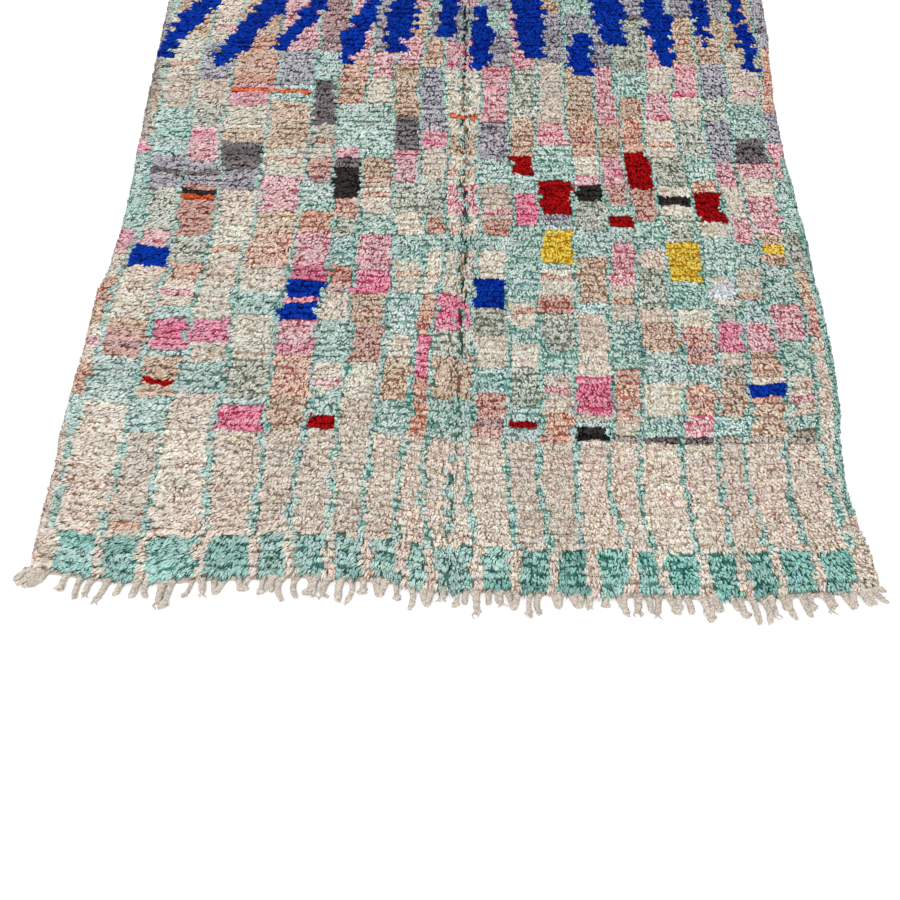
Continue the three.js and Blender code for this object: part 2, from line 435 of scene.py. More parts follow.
def drawHems(knots, onLine):
    # narrow hems: teal on the right, taupe on the left
    onRight = allColumns >= chart["columns"] - chart["hemKnots"]
    knots[onRight & rowsFrom(*chart["hemRows"])] = woolNumber["paleTeal"]
    onLeft = allColumns < chart["leftHemKnots"]
    knots[onLeft & rowsFrom(*chart["leftHemRows"]) & ~onLine] = woolNumber["taupe"]


def drawStrokes(knots, chance):
    # cobalt strokes: straight lines, thickest in the middle, with ragged sides
    for stroke in strokes:
        share = np.clip((allRows - stroke["row"]) / (stroke["toRow"] - stroke["row"]), 0, 1)
        middle = blend(stroke["column"], stroke["toColumn"], share)
        half = stroke["knots"] / 2 * blend(chart["strokeEnds"], 1, np.sin(np.pi * share))
        half = half + chance.uniform(-chart["strokeSpread"], chart["strokeSpread"], share.shape)
        ragged = chance.uniform(-chart["strokeJitter"], chart["strokeJitter"], share.shape)
        inside = np.abs(allColumns + 0.5 - middle - ragged) < half
        knots[inside & rowsFrom(stroke["row"], stroke["toRow"])] = woolNumber["cobalt"]


def drawFold(knots, chance):
    # teal strands that have worked up along the fold
    byFold = np.abs(fromParting(*knotPlaces)) < chart["foldReach"]
    byFold &= (allRows > chart["borderRows"]) & (chance.random(knots.shape) < chart["foldTeal"])
    knots[byFold] = woolNumber["paleTeal"]


def knotChart():
    # which wool each knot is tied in, and which block it belongs to
    chance = np.random.default_rng(chart["seed"])
    lineLeft, lineWidth = wanderingLines(chance)
    pastLeft = allColumns[:, :, None] >= lineLeft[:, None]
    pastRight = allColumns[:, :, None] >= (lineLeft + lineWidth)[:, None]
    onLine = (pastLeft & ~pastRight).any(2)
    field = pastRight.sum(2)
    filled, blockNumber = fillFields(chance, len(borderWidths))
    knots = np.take_along_axis(filled, field, 1)
    blocks = np.take_along_axis(blockNumber, field, 1)
    fromEnd = np.minimum(allRows, chart["rows"] - 1 - allRows)
    drawLines(knots, filled, field, onLine)
    drawBorder(knots, onLine, fromEnd)
    drawHems(knots, onLine)
    drawStrokes(knots, chance)
    drawFold(knots, chance)
    plain = (fromEnd < chart["borderRows"] + chart["bandRows"]) & ~onLine
    blocks[plain] = field[plain]
    return knots, blocks


knotWool, knotBlock = knotChart()
print("chart drawn:", knotWool.shape[0], "rows of", knotWool.shape[1], "knots")


dyeing = {
    "seed": 21,
    "byBlock": 0.05,  # how uneven the colour is from block to block
    "byRun": 0.04,  # and from one run of knots to the next
    "runKnots": 9,
    "byKnot": 0.05,
    "tint": 0.02,
    "stain": [0.012, -0.028, -0.03],  # what a run dye adds of red, green and blue
    "stainWaves": [{"columns": 11, "rows": 7}, {"columns": -17, "rows": 5.3}],
    "took": 0.4,  # how unevenly the dye took, from row to row and again every few rows
    "tookRows": 3,
    "softTook": 0.4,  # how much of that shows in the undyed wools
    "palerBody": 0.6,
    "deeperBody": 0.25,
    "deeperTip": 0.6,
    "blush": (168, 76, 58),
    "blushRise": (0.3, 0.9),  # undyed wools blush where a stain is stronger than this
    "blushAmount": 0.25,
    "tealRise": (0.4, 0.75),  # over this stretch of the width the border's teal grows deeper,
    "tealRight": [0.73, 0.9, 0.88],  # to this share of its red, green and blue
    "foldTip": 0.3,  # how far each part of a strand takes on the next one's dye along the fold
    "foldBody": 0.45,
    "foldRootShade": 0.6,  # and how far its root is darkened there, a painted shade
}


def unevenDye(chance, stain):
    # how much of its colour each knot has: a product of one share for its block, one for its run
    # of knots and one for itself, tinted a little and stained where a dye has run
    byBlock = chance.normal(1, dyeing["byBlock"], knotBlock.max() + 1)[knotBlock]
    runKnots = dyeing["runKnots"]
    byRow = chance.normal(1, dyeing["byRun"], (chart["rows"], chart["columns"] // runKnots + 1))
    byRow = np.repeat(byRow, runKnots, axis=1)[:, :chart["columns"]]
    byKnot = chance.normal(1, dyeing["byKnot"], knotWool.shape)
    run = 1 + stain[..., None] * np.array(dyeing["stain"])
    tint = 1 + chance.normal(0, dyeing["tint"], knotWool.shape + (3,))
    amount = (byBlock * byRow * byKnot)[..., None] * run * tint
    rightwards = smoothStep(*dyeing["tealRise"], allColumns / chart["columns"])[..., None]
    isTeal = (knotWool == woolNumber["teal"])[..., None]
    return amount * np.where(isTeal, blend(1, np.array(dyeing["tealRight"]), rightwards), 1)


def washRows(chance, dyes, soft):
    # the dye took unevenly: some rows of a block are washed paler, some are deeper
    everyRow = chance.normal(0, dyeing["took"], (chart["rows"], knotBlock.max() + 1))
    runs = chart["rows"] // dyeing["tookRows"] + 1
    everyFew = chance.normal(0, dyeing["took"], (runs, everyRow.shape[1]))
    took = everyRow + np.repeat(everyFew, dyeing["tookRows"], 0)[:chart["rows"]]
    took = np.take_along_axis(took, knotBlock, 1)[..., None]
    took = np.where(soft, dyeing["softTook"] * took, took)
    paler, deeper = np.clip(took, 0, 1), np.clip(-took, 0, 1)
    body, tip = dyes["body"], dyes["tip"]
    toRoot = (dyes["root"] - body) * deeper * dyeing["deeperBody"]
    dyes["body"] = blend(body, tip, paler * dyeing["palerBody"]) + toRoot
    dyes["tip"] = blend(tip, body, deeper * dyeing["deeperTip"])


def dyedColours():
    # tip, body and root colour of every knot
    chance = np.random.default_rng(dyeing["seed"])
    waves = [np.sin(allColumns / wave["columns"] + allRows / wave["rows"])
             for wave in dyeing["stainWaves"]]
    stain = waves[0] * waves[1]
    amount = unevenDye(chance, stain)
    dyes = {}
    for part in ("tip", "body", "root"):
        plain = toLight([wool[part] for wool in wools.values()])[knotWool]
        dyes[part] = np.clip(plain * amount, 0, 1)
    soft = np.isin(knotWool, softWools)[..., None]
    washRows(chance, dyes, soft)

    # here and there the undyed wools have drunk a red dye at their roots
    blush = soft * smoothStep(*dyeing["blushRise"], stain)[..., None] * dyeing["blushAmount"]
    dyes["root"] = blend(dyes["root"], toLight(dyeing["blush"]), blush)

    # along the fold the pile is parted and shows its deeper dye, and its root is darkened by painted
    # shade
    parted = openedFold(*knotPlaces, rug["partingWidth"])[..., None]
    dyes["tip"] = blend(dyes["tip"], dyes["body"], dyeing["foldTip"] * parted)
    dyes["body"] = blend(dyes["body"], dyes["root"], dyeing["foldBody"] * parted)
    dyes["root"] = dyes["root"] * (1 - dyeing["foldRootShade"] * parted)
    return dyes


knotDye = dyedColours()


def chartAt(share, along, colours):
    # the colour of the knot that stands over each place
    row = np.clip(along / rug["length"] * chart["rows"], 0, chart["rows"] - 1).astype(int)
    column = np.clip(share * chart["columns"], 0, chart["columns"] - 1).astype(int)
    return colours[row, column]


def makePiece(name, points, faces, dyes, uvMaps):
    # a smooth mesh from its corners and faces, with a colour for every dye and a layer for
    # every map; a dye may be given for each corner of the mesh or for each corner of its faces
    mesh = bpy.data.meshes.new(name)
    mesh.vertices.add(len(points))
    mesh.vertices.foreach_set("co", points.astype(np.float32).ravel())
    mesh.loops.add(faces.size)
    mesh.loops.foreach_set("vertex_index", faces.astype(np.int32).ravel())
    mesh.polygons.add(len(faces))
    mesh.polygons.foreach_set("loop_start", np.arange(0, faces.size, faces.shape[1], dtype=np.int32))
    mesh.polygons.foreach_set("use_smooth", np.ones(len(faces), bool))
    mesh.update(calc_edges=True)
    for dyeName, colours in dyes.items():
        domain = "POINT" if len(colours) == len(points) else "CORNER"
        dye = mesh.attributes.new(dyeName, "FLOAT_COLOR", domain)
        rgba = np.concatenate([colours, np.ones((len(colours), 1))], 1)
        dye.data.foreach_set("color", rgba.astype(np.float32).ravel())
    for mapName, places in uvMaps.items():
        layer = mesh.uv_layers.new(name=mapName, do_init=False)
        layer.uv.foreach_set("vector", places.astype(np.float32).ravel())
    piece = bpy.data.objects.new(name, mesh)
    bpy.context.scene.collection.objects.link(piece)
    return piece


fibreSpread = 60  # every strand's fibres begin somewhere within so many lengths of their noise


def ownCells(places, count, across, down, margin):
    # for the bake: each part's own map shrunk into a cell of its own, numbered row by row
    number = np.arange(count)
    cell = np.stack([number % across, number // across], -1)
    return (cell[:, None] + margin + places * (1 - 2 * margin)) / (across, down)


fringe = {
    "tassels": 72,
    "from": 0.02,  # where the even run of tassels starts and ends, in shares of the width
    "to": 0.965,
    "crowding": 0.88,  # below 1 they stand closer together towards the right
    "strayShare": 0.0022,
    "seed": 11,
    "yarns": 3,
    "yarnRadius": 3.3,
    "sides": 6,
    "steps": 16,
    "twistEvery": 17,  # length of rope for one turn
    "shortest": 28,
    "longest": 58,
    "joinedLongest": 38,
    "sizes": (0.85, 1.2),
    "cornerThickness": 1.02,
    "leanOut": 10,  # how far tips lean outwards near the corners, and how unevenly they all lean
    "leanSpread": 6,
    "leanCurve": 1.3,
    "curl": 4.5,
    "kinds": {"rope": 0.34, "knob": 0.2, "brush": 0.24, "joined": 0.22},
    "rootInside": 5,  # the yarns start this far inside the heading
    "spread": 1.7,  # how much wider apart they start there
    "closedBy": 0.3,  # the share of the way by which they have closed into a rope
    "yarnGap": 1.02,
    "turnSpread": 6,  # each rope's turn starts anywhere up to so many radians
    "yarnLengths": (0.92, 1.04),
    "knobAt": 0.86,  # where a knob sits, how long and how thick it is, and how slim its neck
    "knobLength": 0.1,
    "knobSize": 1.1,
    "knobSwell": 0.35,
    "neck": 0.75,
    "endFrom": 0.6,  # a brush opens from here on, by so much, while its yarns thin out
    "splay": 6.2,
    "thinning": 0.75,
    "roundFrom": 0.86,  # other ends are rounded off from here on
    "roundOver": 0.15,
    "roundLeast": 0.06,
    "footSwell": 0.25,
    "lift": 1.2,  # how high the rope's middle lies, in radii, and its yarns above each other
    "stackMost": 2.4,
    "stack": 0.6,
    "yarn": (208, 197, 185),
    "shadeNoise": 0.06,
    # painted shade in the grooves between the yarn's fibres: the yarn's colour darkened to this share
    "shadedGroove": 0.6,
    "cellMargin": 0.05,
}
# Ropes beside the regular ones: the thick bunches at the two corners. lean is the sideways
# reach of the tip.
cornerRopes = [
    {"share": 0.001, "length": 24, "lean": -24},
    {"share": 0.003, "length": 33, "lean": -21},
    {"share": 0.007, "length": 38, "lean": -15},
    {"share": 0.012, "length": 36, "lean": -9},
    {"share": 0.978, "length": 34, "lean": 13},
    {"share": 0.986, "length": 33, "lean": 9},
    {"share": 0.992, "length": 31, "lean": 22},
    {"share": 0.997, "length": 8, "lean": 12},
]


def layTassels():
    # nearly evenly spaced; neighbours marked joined lean together and meet at their tips
    chance = np.random.default_rng(fringe["seed"])
    count = fringe["tassels"]
    share = blend(fringe["from"], fringe["to"], np.linspace(0, 1, count) ** fringe["crowding"])
    share = share + chance.normal(0, fringe["strayShare"], count)
    length = chance.uniform(fringe["shortest"], fringe["longest"], count)
    outwards = fringe["leanOut"] * (2 * share - 1)
    lean = chance.normal(0, fringe["leanSpread"], count) + outwards
    kind = chance.choice(list(fringe["kinds"]), count, p=list(fringe["kinds"].values()))
    corner = {key: np.array([rope[key] for rope in cornerRopes], float) for key in cornerRopes[0]}
    starts = np.flatnonzero(kind == "joined")
    starts = starts[(starts % 2 == 0) & (starts < count - 1)]
    kind[kind == "joined"] = "rope"
    apart = (share[starts + 1] - share[starts]) * rug["width"]
    for first, sign in ((starts, 0.5), (starts + 1, -0.5)):
        kind[first] = "joined"
        lean[first] = sign * apart + outwards[first]
        length[first] = np.minimum(length[starts], fringe["joinedLongest"])
    return {
        "share": np.concatenate([share, corner["share"]]),
        "length": np.concatenate([length, corner["length"]]),
        "lean": np.concatenate([lean, corner["lean"]]),
        "kind": np.concatenate([kind, np.full(len(cornerRopes), "rope")]),
    }


tassels = layTassels()

ground = {
    "columns": 80,
    "rows": 44,
    "inset": 9,
    "edgeShare": 0.45,  # how thick the selvedge is, as a share of the cloth
    "edgeRound": 12,
    "columnCrowding": 0.3,
    "rowCrowding": 0.12,
    "warp": (204, 192, 180),
    "topMap": 0.49,  # where the top face ends in the bake's map
    "wallMap": 0.003,  # how wide a wall is there, and how far on the next one starts
    "wallPitch": 1.5,
}


def groundHeight(share):
    # a thin cloth with rounded selvedges: its thickness grows from a share of itself to the full
    inFromSide = np.minimum(share, 1 - share) * rug["width"]
    full = smoothStep(0, ground["edgeRound"], inFromSide)
    return rug["groundTop"] * blend(ground["edgeShare"], 1, full)


def crowdEnds(share, amount):
    # even steps from 0 to 1 drawn towards both ends, by taking away a share of a sine wave
    return share - amount * np.sin(2 * np.pi * share) / (2 * np.pi)


def groundBake(share, step, faces, wallFaces):
    # the bake's map: the top face on the left, the underside on the right, the walls between
    flat = np.stack([share.ravel() * ground["topMap"], step.ravel()], -1)
    under = np.stack([1 - share.ravel() * ground["topMap"], step.ravel()], -1)
    places = np.concatenate([flat, under])[faces]
    isTop = faces < share.size
    wide = ground["wallMap"]
    start = ground["topMap"] + wide
    first = len(faces) - sum(wallFaces)
    for count, way in zip(wallFaces, (share, share, step, step)):
        wall = slice(first, first + count)
        run = np.tile(way.ravel(), 2)[faces[wall]]
        places[wall] = np.stack([start + wide * isTop[wall], run], -1)
        start += ground["wallPitch"] * wide
        first += count
    return places


def makeGround():
    # a grid folded into a closed sheet: its top face, then its underside, joined at the edges
    shares = crowdEnds(np.linspace(0, 1, ground["columns"] + 1), ground["columnCrowding"])
    steps = crowdEnds(np.linspace(0, 1, ground["rows"] + 1), ground["rowCrowding"])
    share, step = np.meshgrid(shares, steps)
    along = -rug["heading"] + step * (rug["length"] + 2 * rug["heading"])
    inset = ground["inset"] / rug["width"]
    across, alongNow = placeOnRug(inset + (1 - 2 * inset) * share, np.clip(along, 0, rug["length"]))
    alongNow = alongNow + along - np.clip(along, 0, rug["length"])
    top = intoFrame(across, alongNow, groundHeight(share))
    bottom = intoFrame(across, alongNow, np.zeros_like(across))
    rows, columns = share.shape
    number = np.arange(rows * columns).reshape(rows, columns)
    low = number + rows * columns
    sheets = [
        (number[:-1, :-1], number[:-1, 1:], number[1:, 1:], number[1:, :-1]),
        (low[:-1, :-1], low[1:, :-1], low[1:, 1:], low[:-1, 1:]),
    ]
    walls = [
        (number[0, :-1], low[0, :-1], low[0, 1:], number[0, 1:]),
        (number[-1, 1:], low[-1, 1:], low[-1, :-1], number[-1, :-1]),
        (number[1:, 0], low[1:, 0], low[:-1, 0], number[:-1, 0]),
        (number[:-1, -1], low[:-1, -1], low[1:, -1], number[1:, -1]),
    ]
    faces = np.concatenate([np.stack(quads, -1).reshape(-1, 4) for quads in sheets + walls])
    points = np.concatenate([top.reshape(-1, 3), bottom.reshape(-1, 3)])

    bare = ((along < 0) | (along > rug["length"]))[..., None]
    warp = toLight(ground["warp"])
    foot = np.where(bare, warp, chartAt(share, along, knotDye["root"]))
    back = np.where(bare, warp, chartAt(share, along, knotDye["body"]))
    colours = np.concatenate([foot.reshape(-1, 3), back.reshape(-1, 3)])
    places = groundBake(share, step, faces, [len(wall[0]) for wall in walls])
    return makePiece("rug_ground", points, faces, {"wool": colours}, {"OFBake": places})


rugGround = makeGround()
print("ground woven")

pile = {
    "strips": 10,
    "seed": 5,
    "width": 5.8,  # of a strand's fullest part
    "thick": 2.0,
    "sizes": (0.7, 1.3),
    "rootInset": 5,  # no knot is nearer to an end than this
    "edgeInset": 7,  # and no knot's middle is nearer to a selvedge
    "trim": 2,  # the pile is trimmed this far inside the selvedges
    "trimNoise": 0.4,
    "jitter": 0.15,
    "clumpKnots": [1, 2, 3, 4],  # how many neighbouring knots cling together
    "clumpShares": [0.15, 0.4, 0.3, 0.15],
    "clumpSeed": 100,
    "clumpPull": 0.2,  # how far tips close in on their clump's middle
    "clumpTurn": 16,  # how differently clumps lie
    "clumpLean": 1.2,
    "clumpAhead": 0.1,
    "clumpOver": 0.22,
    "clumpHalf": 0.6,
    "rounding": 1.8,  # how far a clump's sides lie below its middle
    "angleNoise": 16,
    "loosest": 1.1,  # how freely strands turn where a row isn't calm at all
    "unruly": 0.9,  # how much more they stray on the right, in full this far from the middle
    "unrulyBy": 400,
    "leanSpread": 1.6,
    "heightNoise": 0.9,
    "twist": 0.25,
    "over": 0.42,  # how far strands reach past the next crease, in shares of a row's pitch
    "shortest": 9,
    "leastAhead": 0.05,
    "standLonger": 0.3,  # what a millimetre of extra length adds to how high a tip stands,
    "overLonger": 0.06,  # to how far it reaches over a crease,
    "sinkLonger": 0.1,  # and takes from how far strands sink into creases
    "sink": 0.6,
    "foldLean": 4,  # beside the fold strands are longer, turn along it and are pulled together
    "foldAngle": 8,
    "foldNoise": 14,
    "foldTurn": 0.7,
    "foldPull": 0.3,
    "edgeReach": (4, 26),  # the pile starts to hang outwards this far in from a selvedge
    "endReach": (5, 36),  # and this far in from an end
    "leftHang": -74,  # the angles at which it hangs there
    "rightHang": 66,
    "farHang": 180,
    "sideLean": 8.5,
    "hangSpread": 0.8,
    "nearLean": 2,
    "nearStraight": 0.15,
    "farLean": -7,
    "droop": 8.5,  # how far tips hang down at the edges
    "fullDroop": 1.5,  # and how far a strand's fullest part does
    "sideDroop": 0.8,
    "lowest": 3,
    "rootSunk": 2,
    "fullAt": 0.56,  # where along it a strand is at its fullest
    "fullStand": 0.85,
    "fullPull": 0.6,
    "fullRise": 0.9,  # its fullest part lies above and behind its line by so much of its thickness
    "fullBack": 0.43,
    "washed": 0.92,  # how far a strand's high places are washed out, and how unevenly
    "washNoise": 0.16,
    "washedMost": 1.2,
    "shade": 1.0,
    "shadeNoise": 0.04,
    "shadeBelow": 7,  # painted shade by height: below this height strands darken towards their root's colour, and above the next they are washed pale, partly sun-bleached wool and partly painted light
    "paleAndLitAbove": 14,
    # the share of its body colour a strand keeps low down, under the painted shade
    "lowBodyShade": 0.5,
    "shadowLinedShare": 0.3,  # this many strands get a painted shadow line along their side, where they stand clear of their neighbour
    # painted shade: dyed wools' grooves are their root colour darkened to this share
    "dyedGrooveShade": 0.52,
    "softGroove": 0.86,  # how far grooves take on the root's dye in the undyed wools, as deep dye and painted shade
    "cellMargin": 0.08,
}
rowLooks = [  # from row to row: how smoothly the pile lies, how much longer and slimmer it is
    {"row": 0, "calm": 0.8, "longer": 5, "slim": 0.8},
    {"row": 4, "calm": 0.7, "longer": 5, "slim": 0.8},
    {"row": 7, "calm": 0.8, "longer": 0, "slim": 1.0},
    {"row": 18, "calm": 0.8, "longer": 0, "slim": 1.0},
    {"row": 24, "calm": 0.6, "longer": 0, "slim": 1.0},
    {"row": 152, "calm": 0.5, "longer": 1, "slim": 1.0},
]
lays = [  # which way and how far the pile was brushed over, and how high its tips stand
    {"across": -770, "angle": -64, "lean": 22, "stand": 3.6},
    {"across": -560, "angle": -54, "lean": 21, "stand": 3.6},
    {"across": -250, "angle": -30, "lean": 19, "stand": 3.4},
    {"across": 0, "angle": -10, "lean": 17, "stand": 3.2},
    {"across": 400, "angle": 8, "lean": 14, "stand": 3.2},
    {"across": 770, "angle": 30, "lean": 14, "stand": 3.4},
]
# Where the strands of one knot stand, in shares of the knot's width and of the row's pitch.
knotStrands = np.array([
    (-0.27, 0.42), (0.24, 0.33), (-0.2, 0.13), (0.28, 0.04), (-0.27, -0.13), (0.2, -0.24),
])
layWaves = [  # how the lay of the pile sways, in degrees over these lengths
    {"across": 211, "along": 260, "phase": 0.4, "swing": 8},
    {"across": 97, "along": 143, "phase": 2.1, "swing": 9},
    {"across": 330, "along": 71, "phase": 4.0, "swing": 7},
    {"across": 58, "along": 61, "phase": 1.0, "swing": 8},
]


def layOfPile(across, along):
    # the angle at which strands lie, from straight towards the near end, positive to the right
    angle = readTable(lays, "across", "angle", across)
    for wave in layWaves:
        turns = across / wave["across"] + along / wave["along"]
        angle = angle + wave["swing"] * np.sin(turns * 2 * np.pi + wave["phase"])
    return angle


# The pile parts into tufts, long ones on the left where it lies over far, small ones elsewhere.
# tilt is how steeply the tufts run down to the left.
tuftSizes = [
    {"across": -770, "width": 19, "tilt": 0.5},
    {"across": -450, "width": 16, "tilt": 0.5},
    {"across": -150, "width": 14, "tilt": 0.2},
    {"across": 150, "width": 13.5, "tilt": 0},
    {"across": 770, "width": 13.5, "tilt": 0},
]
tuftLengths = [
    {"along": -40, "length": 13},
    {"along": 75, "length": 13},
    {"along": 95, "length": 11},
    {"along": 1150, "length": 11},
    {"along": 1600, "length": 15},
    {"along": 2500, "length": 15},
]
tufting = {
    "across": (-900, 900, 600),  # from where to where, and in how many steps, sizes are added up
    "along": (-100, 2600, 900),
    "tiltLength": 8.5,  # a tuft's length where it is tilted
}


def addedUp(rates, at, places):
    # the sum of a rate from the first of the even places at up to each given place
    return np.interp(places, at, np.cumsum(rates) * (at[1] - at[0]))


def tuftMap(across, along):
    # a smooth map of the rug in which every tuft is about one unit wide and one unit long: each
    # coordinate is the sum of 1 / size on the way there, less the tilt
    over, up = (np.linspace(*tufting[way]) for way in ("across", "along"))
    width = 1 / readTable(tuftSizes, "across", "width", over)
    tilt = readTable(tuftSizes, "across", "tilt", over)
    length = 1 / readTable(tuftLengths, "along", "length", up)
    ahead = addedUp(length, up, along) - addedUp(tilt, over, across) / tufting["tiltLength"]
    return np.stack([addedUp(width, over, across), ahead], -1)


def clumpChart(chance):
    # every row is cut up into clumps; a knot's first is its clump's left side, in knots
    knots = chance.choice(pile["clumpKnots"], (chart["rows"], chart["columns"]), p=pile["clumpShares"])
    sides = np.cumsum(knots, 1) - 2
    column = np.arange(chart["columns"])
    clump = (sides[:, None, :] <= column[None, :, None]).sum(2)
    first = np.where(clump > 0, np.take_along_axis(sides, np.maximum(clump - 1, 0), 1), -1)
    return {"number": clump, "first": first, "width": np.take_along_axis(sides, clump, 1) - first}


clumps = clumpChart(np.random.default_rng([pile["seed"], pile["clumpSeed"]]))

# The foot of the pile: a closed bed of pillows, one to a clump, with creases between.
bed = {
    "crown": 13.6,
    "floor": 3,
    "lowest": 4,  # its upper side never sinks below this
    "inset": 3,
    "underColumns": 8,
    "rowCrease": 6.5,  # how far the bed sinks between rows, where a crease is at its deepest
    "clumpCrease": 1.8,  # and between clumps
    "creaseShare": 0.1,  # how far a crease's slope runs into a row, in shares of its pitch
    "creaseSeed": 101,
    "foldDepth": 8,
    "foldWidth": 6,
    "foldOpening": 2.2,  # how far the pile is pushed back on each side of the fold
    "openingWidth": 15,
    "edgeRise": (-8, 16),  # the bed rises to its full height over this stretch at every edge
    "seed": 102,
    "acrossNoise": 0.8,
    "alongNoise": 0.5,
    "noiseKnots": 3,  # this noise grows to its full size over so many knots from every edge
    "settleRows": 2,  # and the rows stray in full from so many rows in
    "softPacked": 0.12,  # how far its colour goes to the root's, in undyed wools and in dyed ones
    "packed": 0.55,
    "creaseShadeAmount": 1.3,  # painted shade: how dark it is in a crease between rows, and between clumps
    "clumpShadeAmount": 0.35,
    "creaseShade": 0.55,
    # painted shade in the bed's grooves: the root's colour darkened by the first share, mixed in by
    # the second
    "grooveShade": 0.7,
    "grooveAmount": 0.9,
    "under": (196, 186, 174),
    "fibreLength": 20,
    "topMap": (0, 0.9),  # where its sides lie across the bake's map
    "underMap": (0.91, 0.95),
    "wallMaps": [0.955, 0.965, 0.975, 0.985],
    "wallMap": 0.008,
}
creaseRuns = {  # how runs of deep crease come and go: long ones on the left, short on the right
    "left": {"contrast": 3.4, "depth": 0.7, "deepest": 1.3},
    "right": {"contrast": 3.0, "depth": 0.5, "deepest": 1.2},
    "change": (0.3, 0.7),  # the one kind gives way to the other over this stretch of the width
    "inBorder": 0.3,
    "borderRows": (2, 6),
}
wanderWaves = [  # how rows stray: millimetres, over so many columns, shifting from row to row
    {"swing": 2.6, "columns": 5.3, "perRow": 0.4},
    {"swing": 1.6, "columns": 2.3, "perRow": -0.9},
    {"swing": 1.3, "columns": 0.9, "perRow": 2.3},
]


def softened(values):
    # the mean of each value, counted twice, and its two neighbours along a row
    return (np.roll(values, 1, 1) + 2 * values + np.roll(values, -1, 1)) / 4


def creaseChart(chance):
    # how deep every crease is at each knot's side, in soft runs from nothing to its full depth
    short = softened(chance.uniform(0, 1, (chart["rows"] + 1, chart["columns"] + 1)))
    left, right = (
        np.clip((runs - 0.5) * creaseRuns[side]["contrast"] + creaseRuns[side]["depth"],
                0, creaseRuns[side]["deepest"])
        for side, runs in (("left", softened(short)), ("right", short)))
    share = smoothStep(*creaseRuns["change"], np.linspace(0, 1, chart["columns"] + 1))
    pastBorder = smoothStep(*creaseRuns["borderRows"], np.arange(chart["rows"] + 1))[:, None]
    return blend(left, right, share) * blend(creaseRuns["inBorder"], 1, pastBorder)


creases = creaseChart(np.random.default_rng([pile["seed"], bed["creaseSeed"]]))


def wander(column, row):
    # how far a row strays along the rug, so that no crease is straight
    return sum(wave["swing"] * np.sin(column / wave["columns"] + row * wave["perRow"])
               for wave in wanderWaves)


def bedCrown(across, along, share):
    # the bed's height between creases: its crown and the swell, less a dip along the fold,
    # sloping down to its floor at every edge
    inFromEnd = np.minimum(along, rug["length"] - along)
    inFromSide = np.minimum(share, 1 - share) * rug["width"]
    edge = smoothStep(*bed["edgeRise"], np.minimum(inFromEnd, inFromSide))
    dip = openedFold(across, along, bed["foldWidth"], bed["foldDepth"])
    return blend(bed["floor"], bed["crown"] + swell(across, along) - dip, edge)


def creaseDepth(column, row, ahead):
    # how far the bed lies below its crown: the nearest crease's depth, times the share of the
    # way that the place lies down its slope
    nearest = np.clip(np.round(row + 0.5 + ahead), 0, chart["rows"]).astype(int)
    side = np.clip(np.round(column), 0, chart["columns"]).astype(int)
    fromCrease = 0.5 - np.abs((ahead + 0.5) % 1 - 0.5)
    into = np.clip(1 - fromCrease / bed["creaseShare"], 0, 1)
    return bed["rowCrease"] * creases[nearest, side] * into


def edgeShares(share, along):
    # how far each edge has its way with a strand: 1 right beside it, 0 further in
    inset = pile["edgeInset"] / rug["width"]
    edges = {
        "left": 1 - smoothStep(*pile["edgeReach"], (share - inset) * rug["width"]),
        "right": 1 - smoothStep(*pile["edgeReach"], (1 - inset - share) * rug["width"]),
        "near": 1 - smoothStep(*pile["endReach"], along),
        "far": 1 - smoothStep(*pile["endReach"], rug["length"] - along),
    }
    edges["side"] = np.maximum(edges["left"], edges["right"])
    return edges


def standingKnots(row, column):
    # where the knot of every strand stands, and what that place asks of the strand
    inset = pile["edgeInset"] / rug["width"]
    share = inset + (1 - 2 * inset) * (column + 0.5) / chart["columns"]
    along = np.clip((row + 0.5) * rowPitch + wander(column + 0.5, row),
                    pile["rootInset"], rug["length"] - pile["rootInset"])
    across, alongNow = placeOnRug(share, along)
    fromFold = fromParting(across, along)
    return {"row": row, "column": column, "share": share, "across": across, "along": along,
            "alongNow": alongNow, "foldSide": np.sign(fromFold),
            "parted": bump(fromFold, rug["partingWidth"]),
            "longer": readTable(rowLooks, "row", "longer", row), "edges": edgeShares(share, along)}


def leanOfStrands(chance, perClump, at):
    # the angle at which every strand lies, and how far it leans over
    across, parted, edges = at["across"], at["parted"], at["edges"]
    count = len(across)
    loose = pile["loosest"] - readTable(rowLooks, "row", "calm", at["row"])
    unruly = 1 + pile["unruly"] * smoothStep(0, pile["unrulyBy"], across)
    stray = chance.normal(0, pile["angleNoise"], count)
    angle = layOfPile(across, at["along"]) + stray * loose * unruly
    angle = angle + perClump(pile["clumpTurn"]) * loose
    lean = readTable(lays, "across", "lean", across) + at["longer"] + pile["foldLean"] * parted
    lean = lean + perClump(pile["clumpLean"]) + chance.normal(0, pile["leanSpread"], count)

    # at the fold the strands run beside it, and at the edges the pile hangs outwards
    aslant = at["foldSide"] * pile["foldAngle"] + chance.normal(0, pile["foldNoise"], count)
    angle = angle * (1 - pile["foldTurn"] * parted) + aslant * parted
    angle = blend(angle, pile["leftHang"], edges["left"])
    angle = blend(angle, pile["rightHang"], edges["right"])
    angle = angle * (1 - pile["nearStraight"] * edges["near"])
    angle = blend(angle, pile["farHang"], edges["far"])
    lean = lean + pile["nearLean"] * edges["near"] + pile["farLean"] * edges["far"]
    hanging = pile["sideLean"] + chance.normal(0, pile["hangSpread"], count)
    return angle, blend(lean, hanging, edges["side"] * (1 - edges["near"]))


def endInCrease(perClump, at, ahead, turn, lean):
    # a strand follows the pillow it lies on and ends at the next crease, unless it is a long one
    edges = at["edges"]
    over = pile["over"] + pile["overLonger"] * at["longer"] + at["parted"]
    over = over + perClump(pile["clumpOver"])
    reach = (ahead + 0.5 + over) * rowPitch / np.maximum(np.cos(turn), pile["leastAhead"])
    within = np.minimum(lean, np.maximum(reach, pile["shortest"]))
    return np.where(edges["near"] + edges["far"] + edges["side"] < 0.5, within, lean)


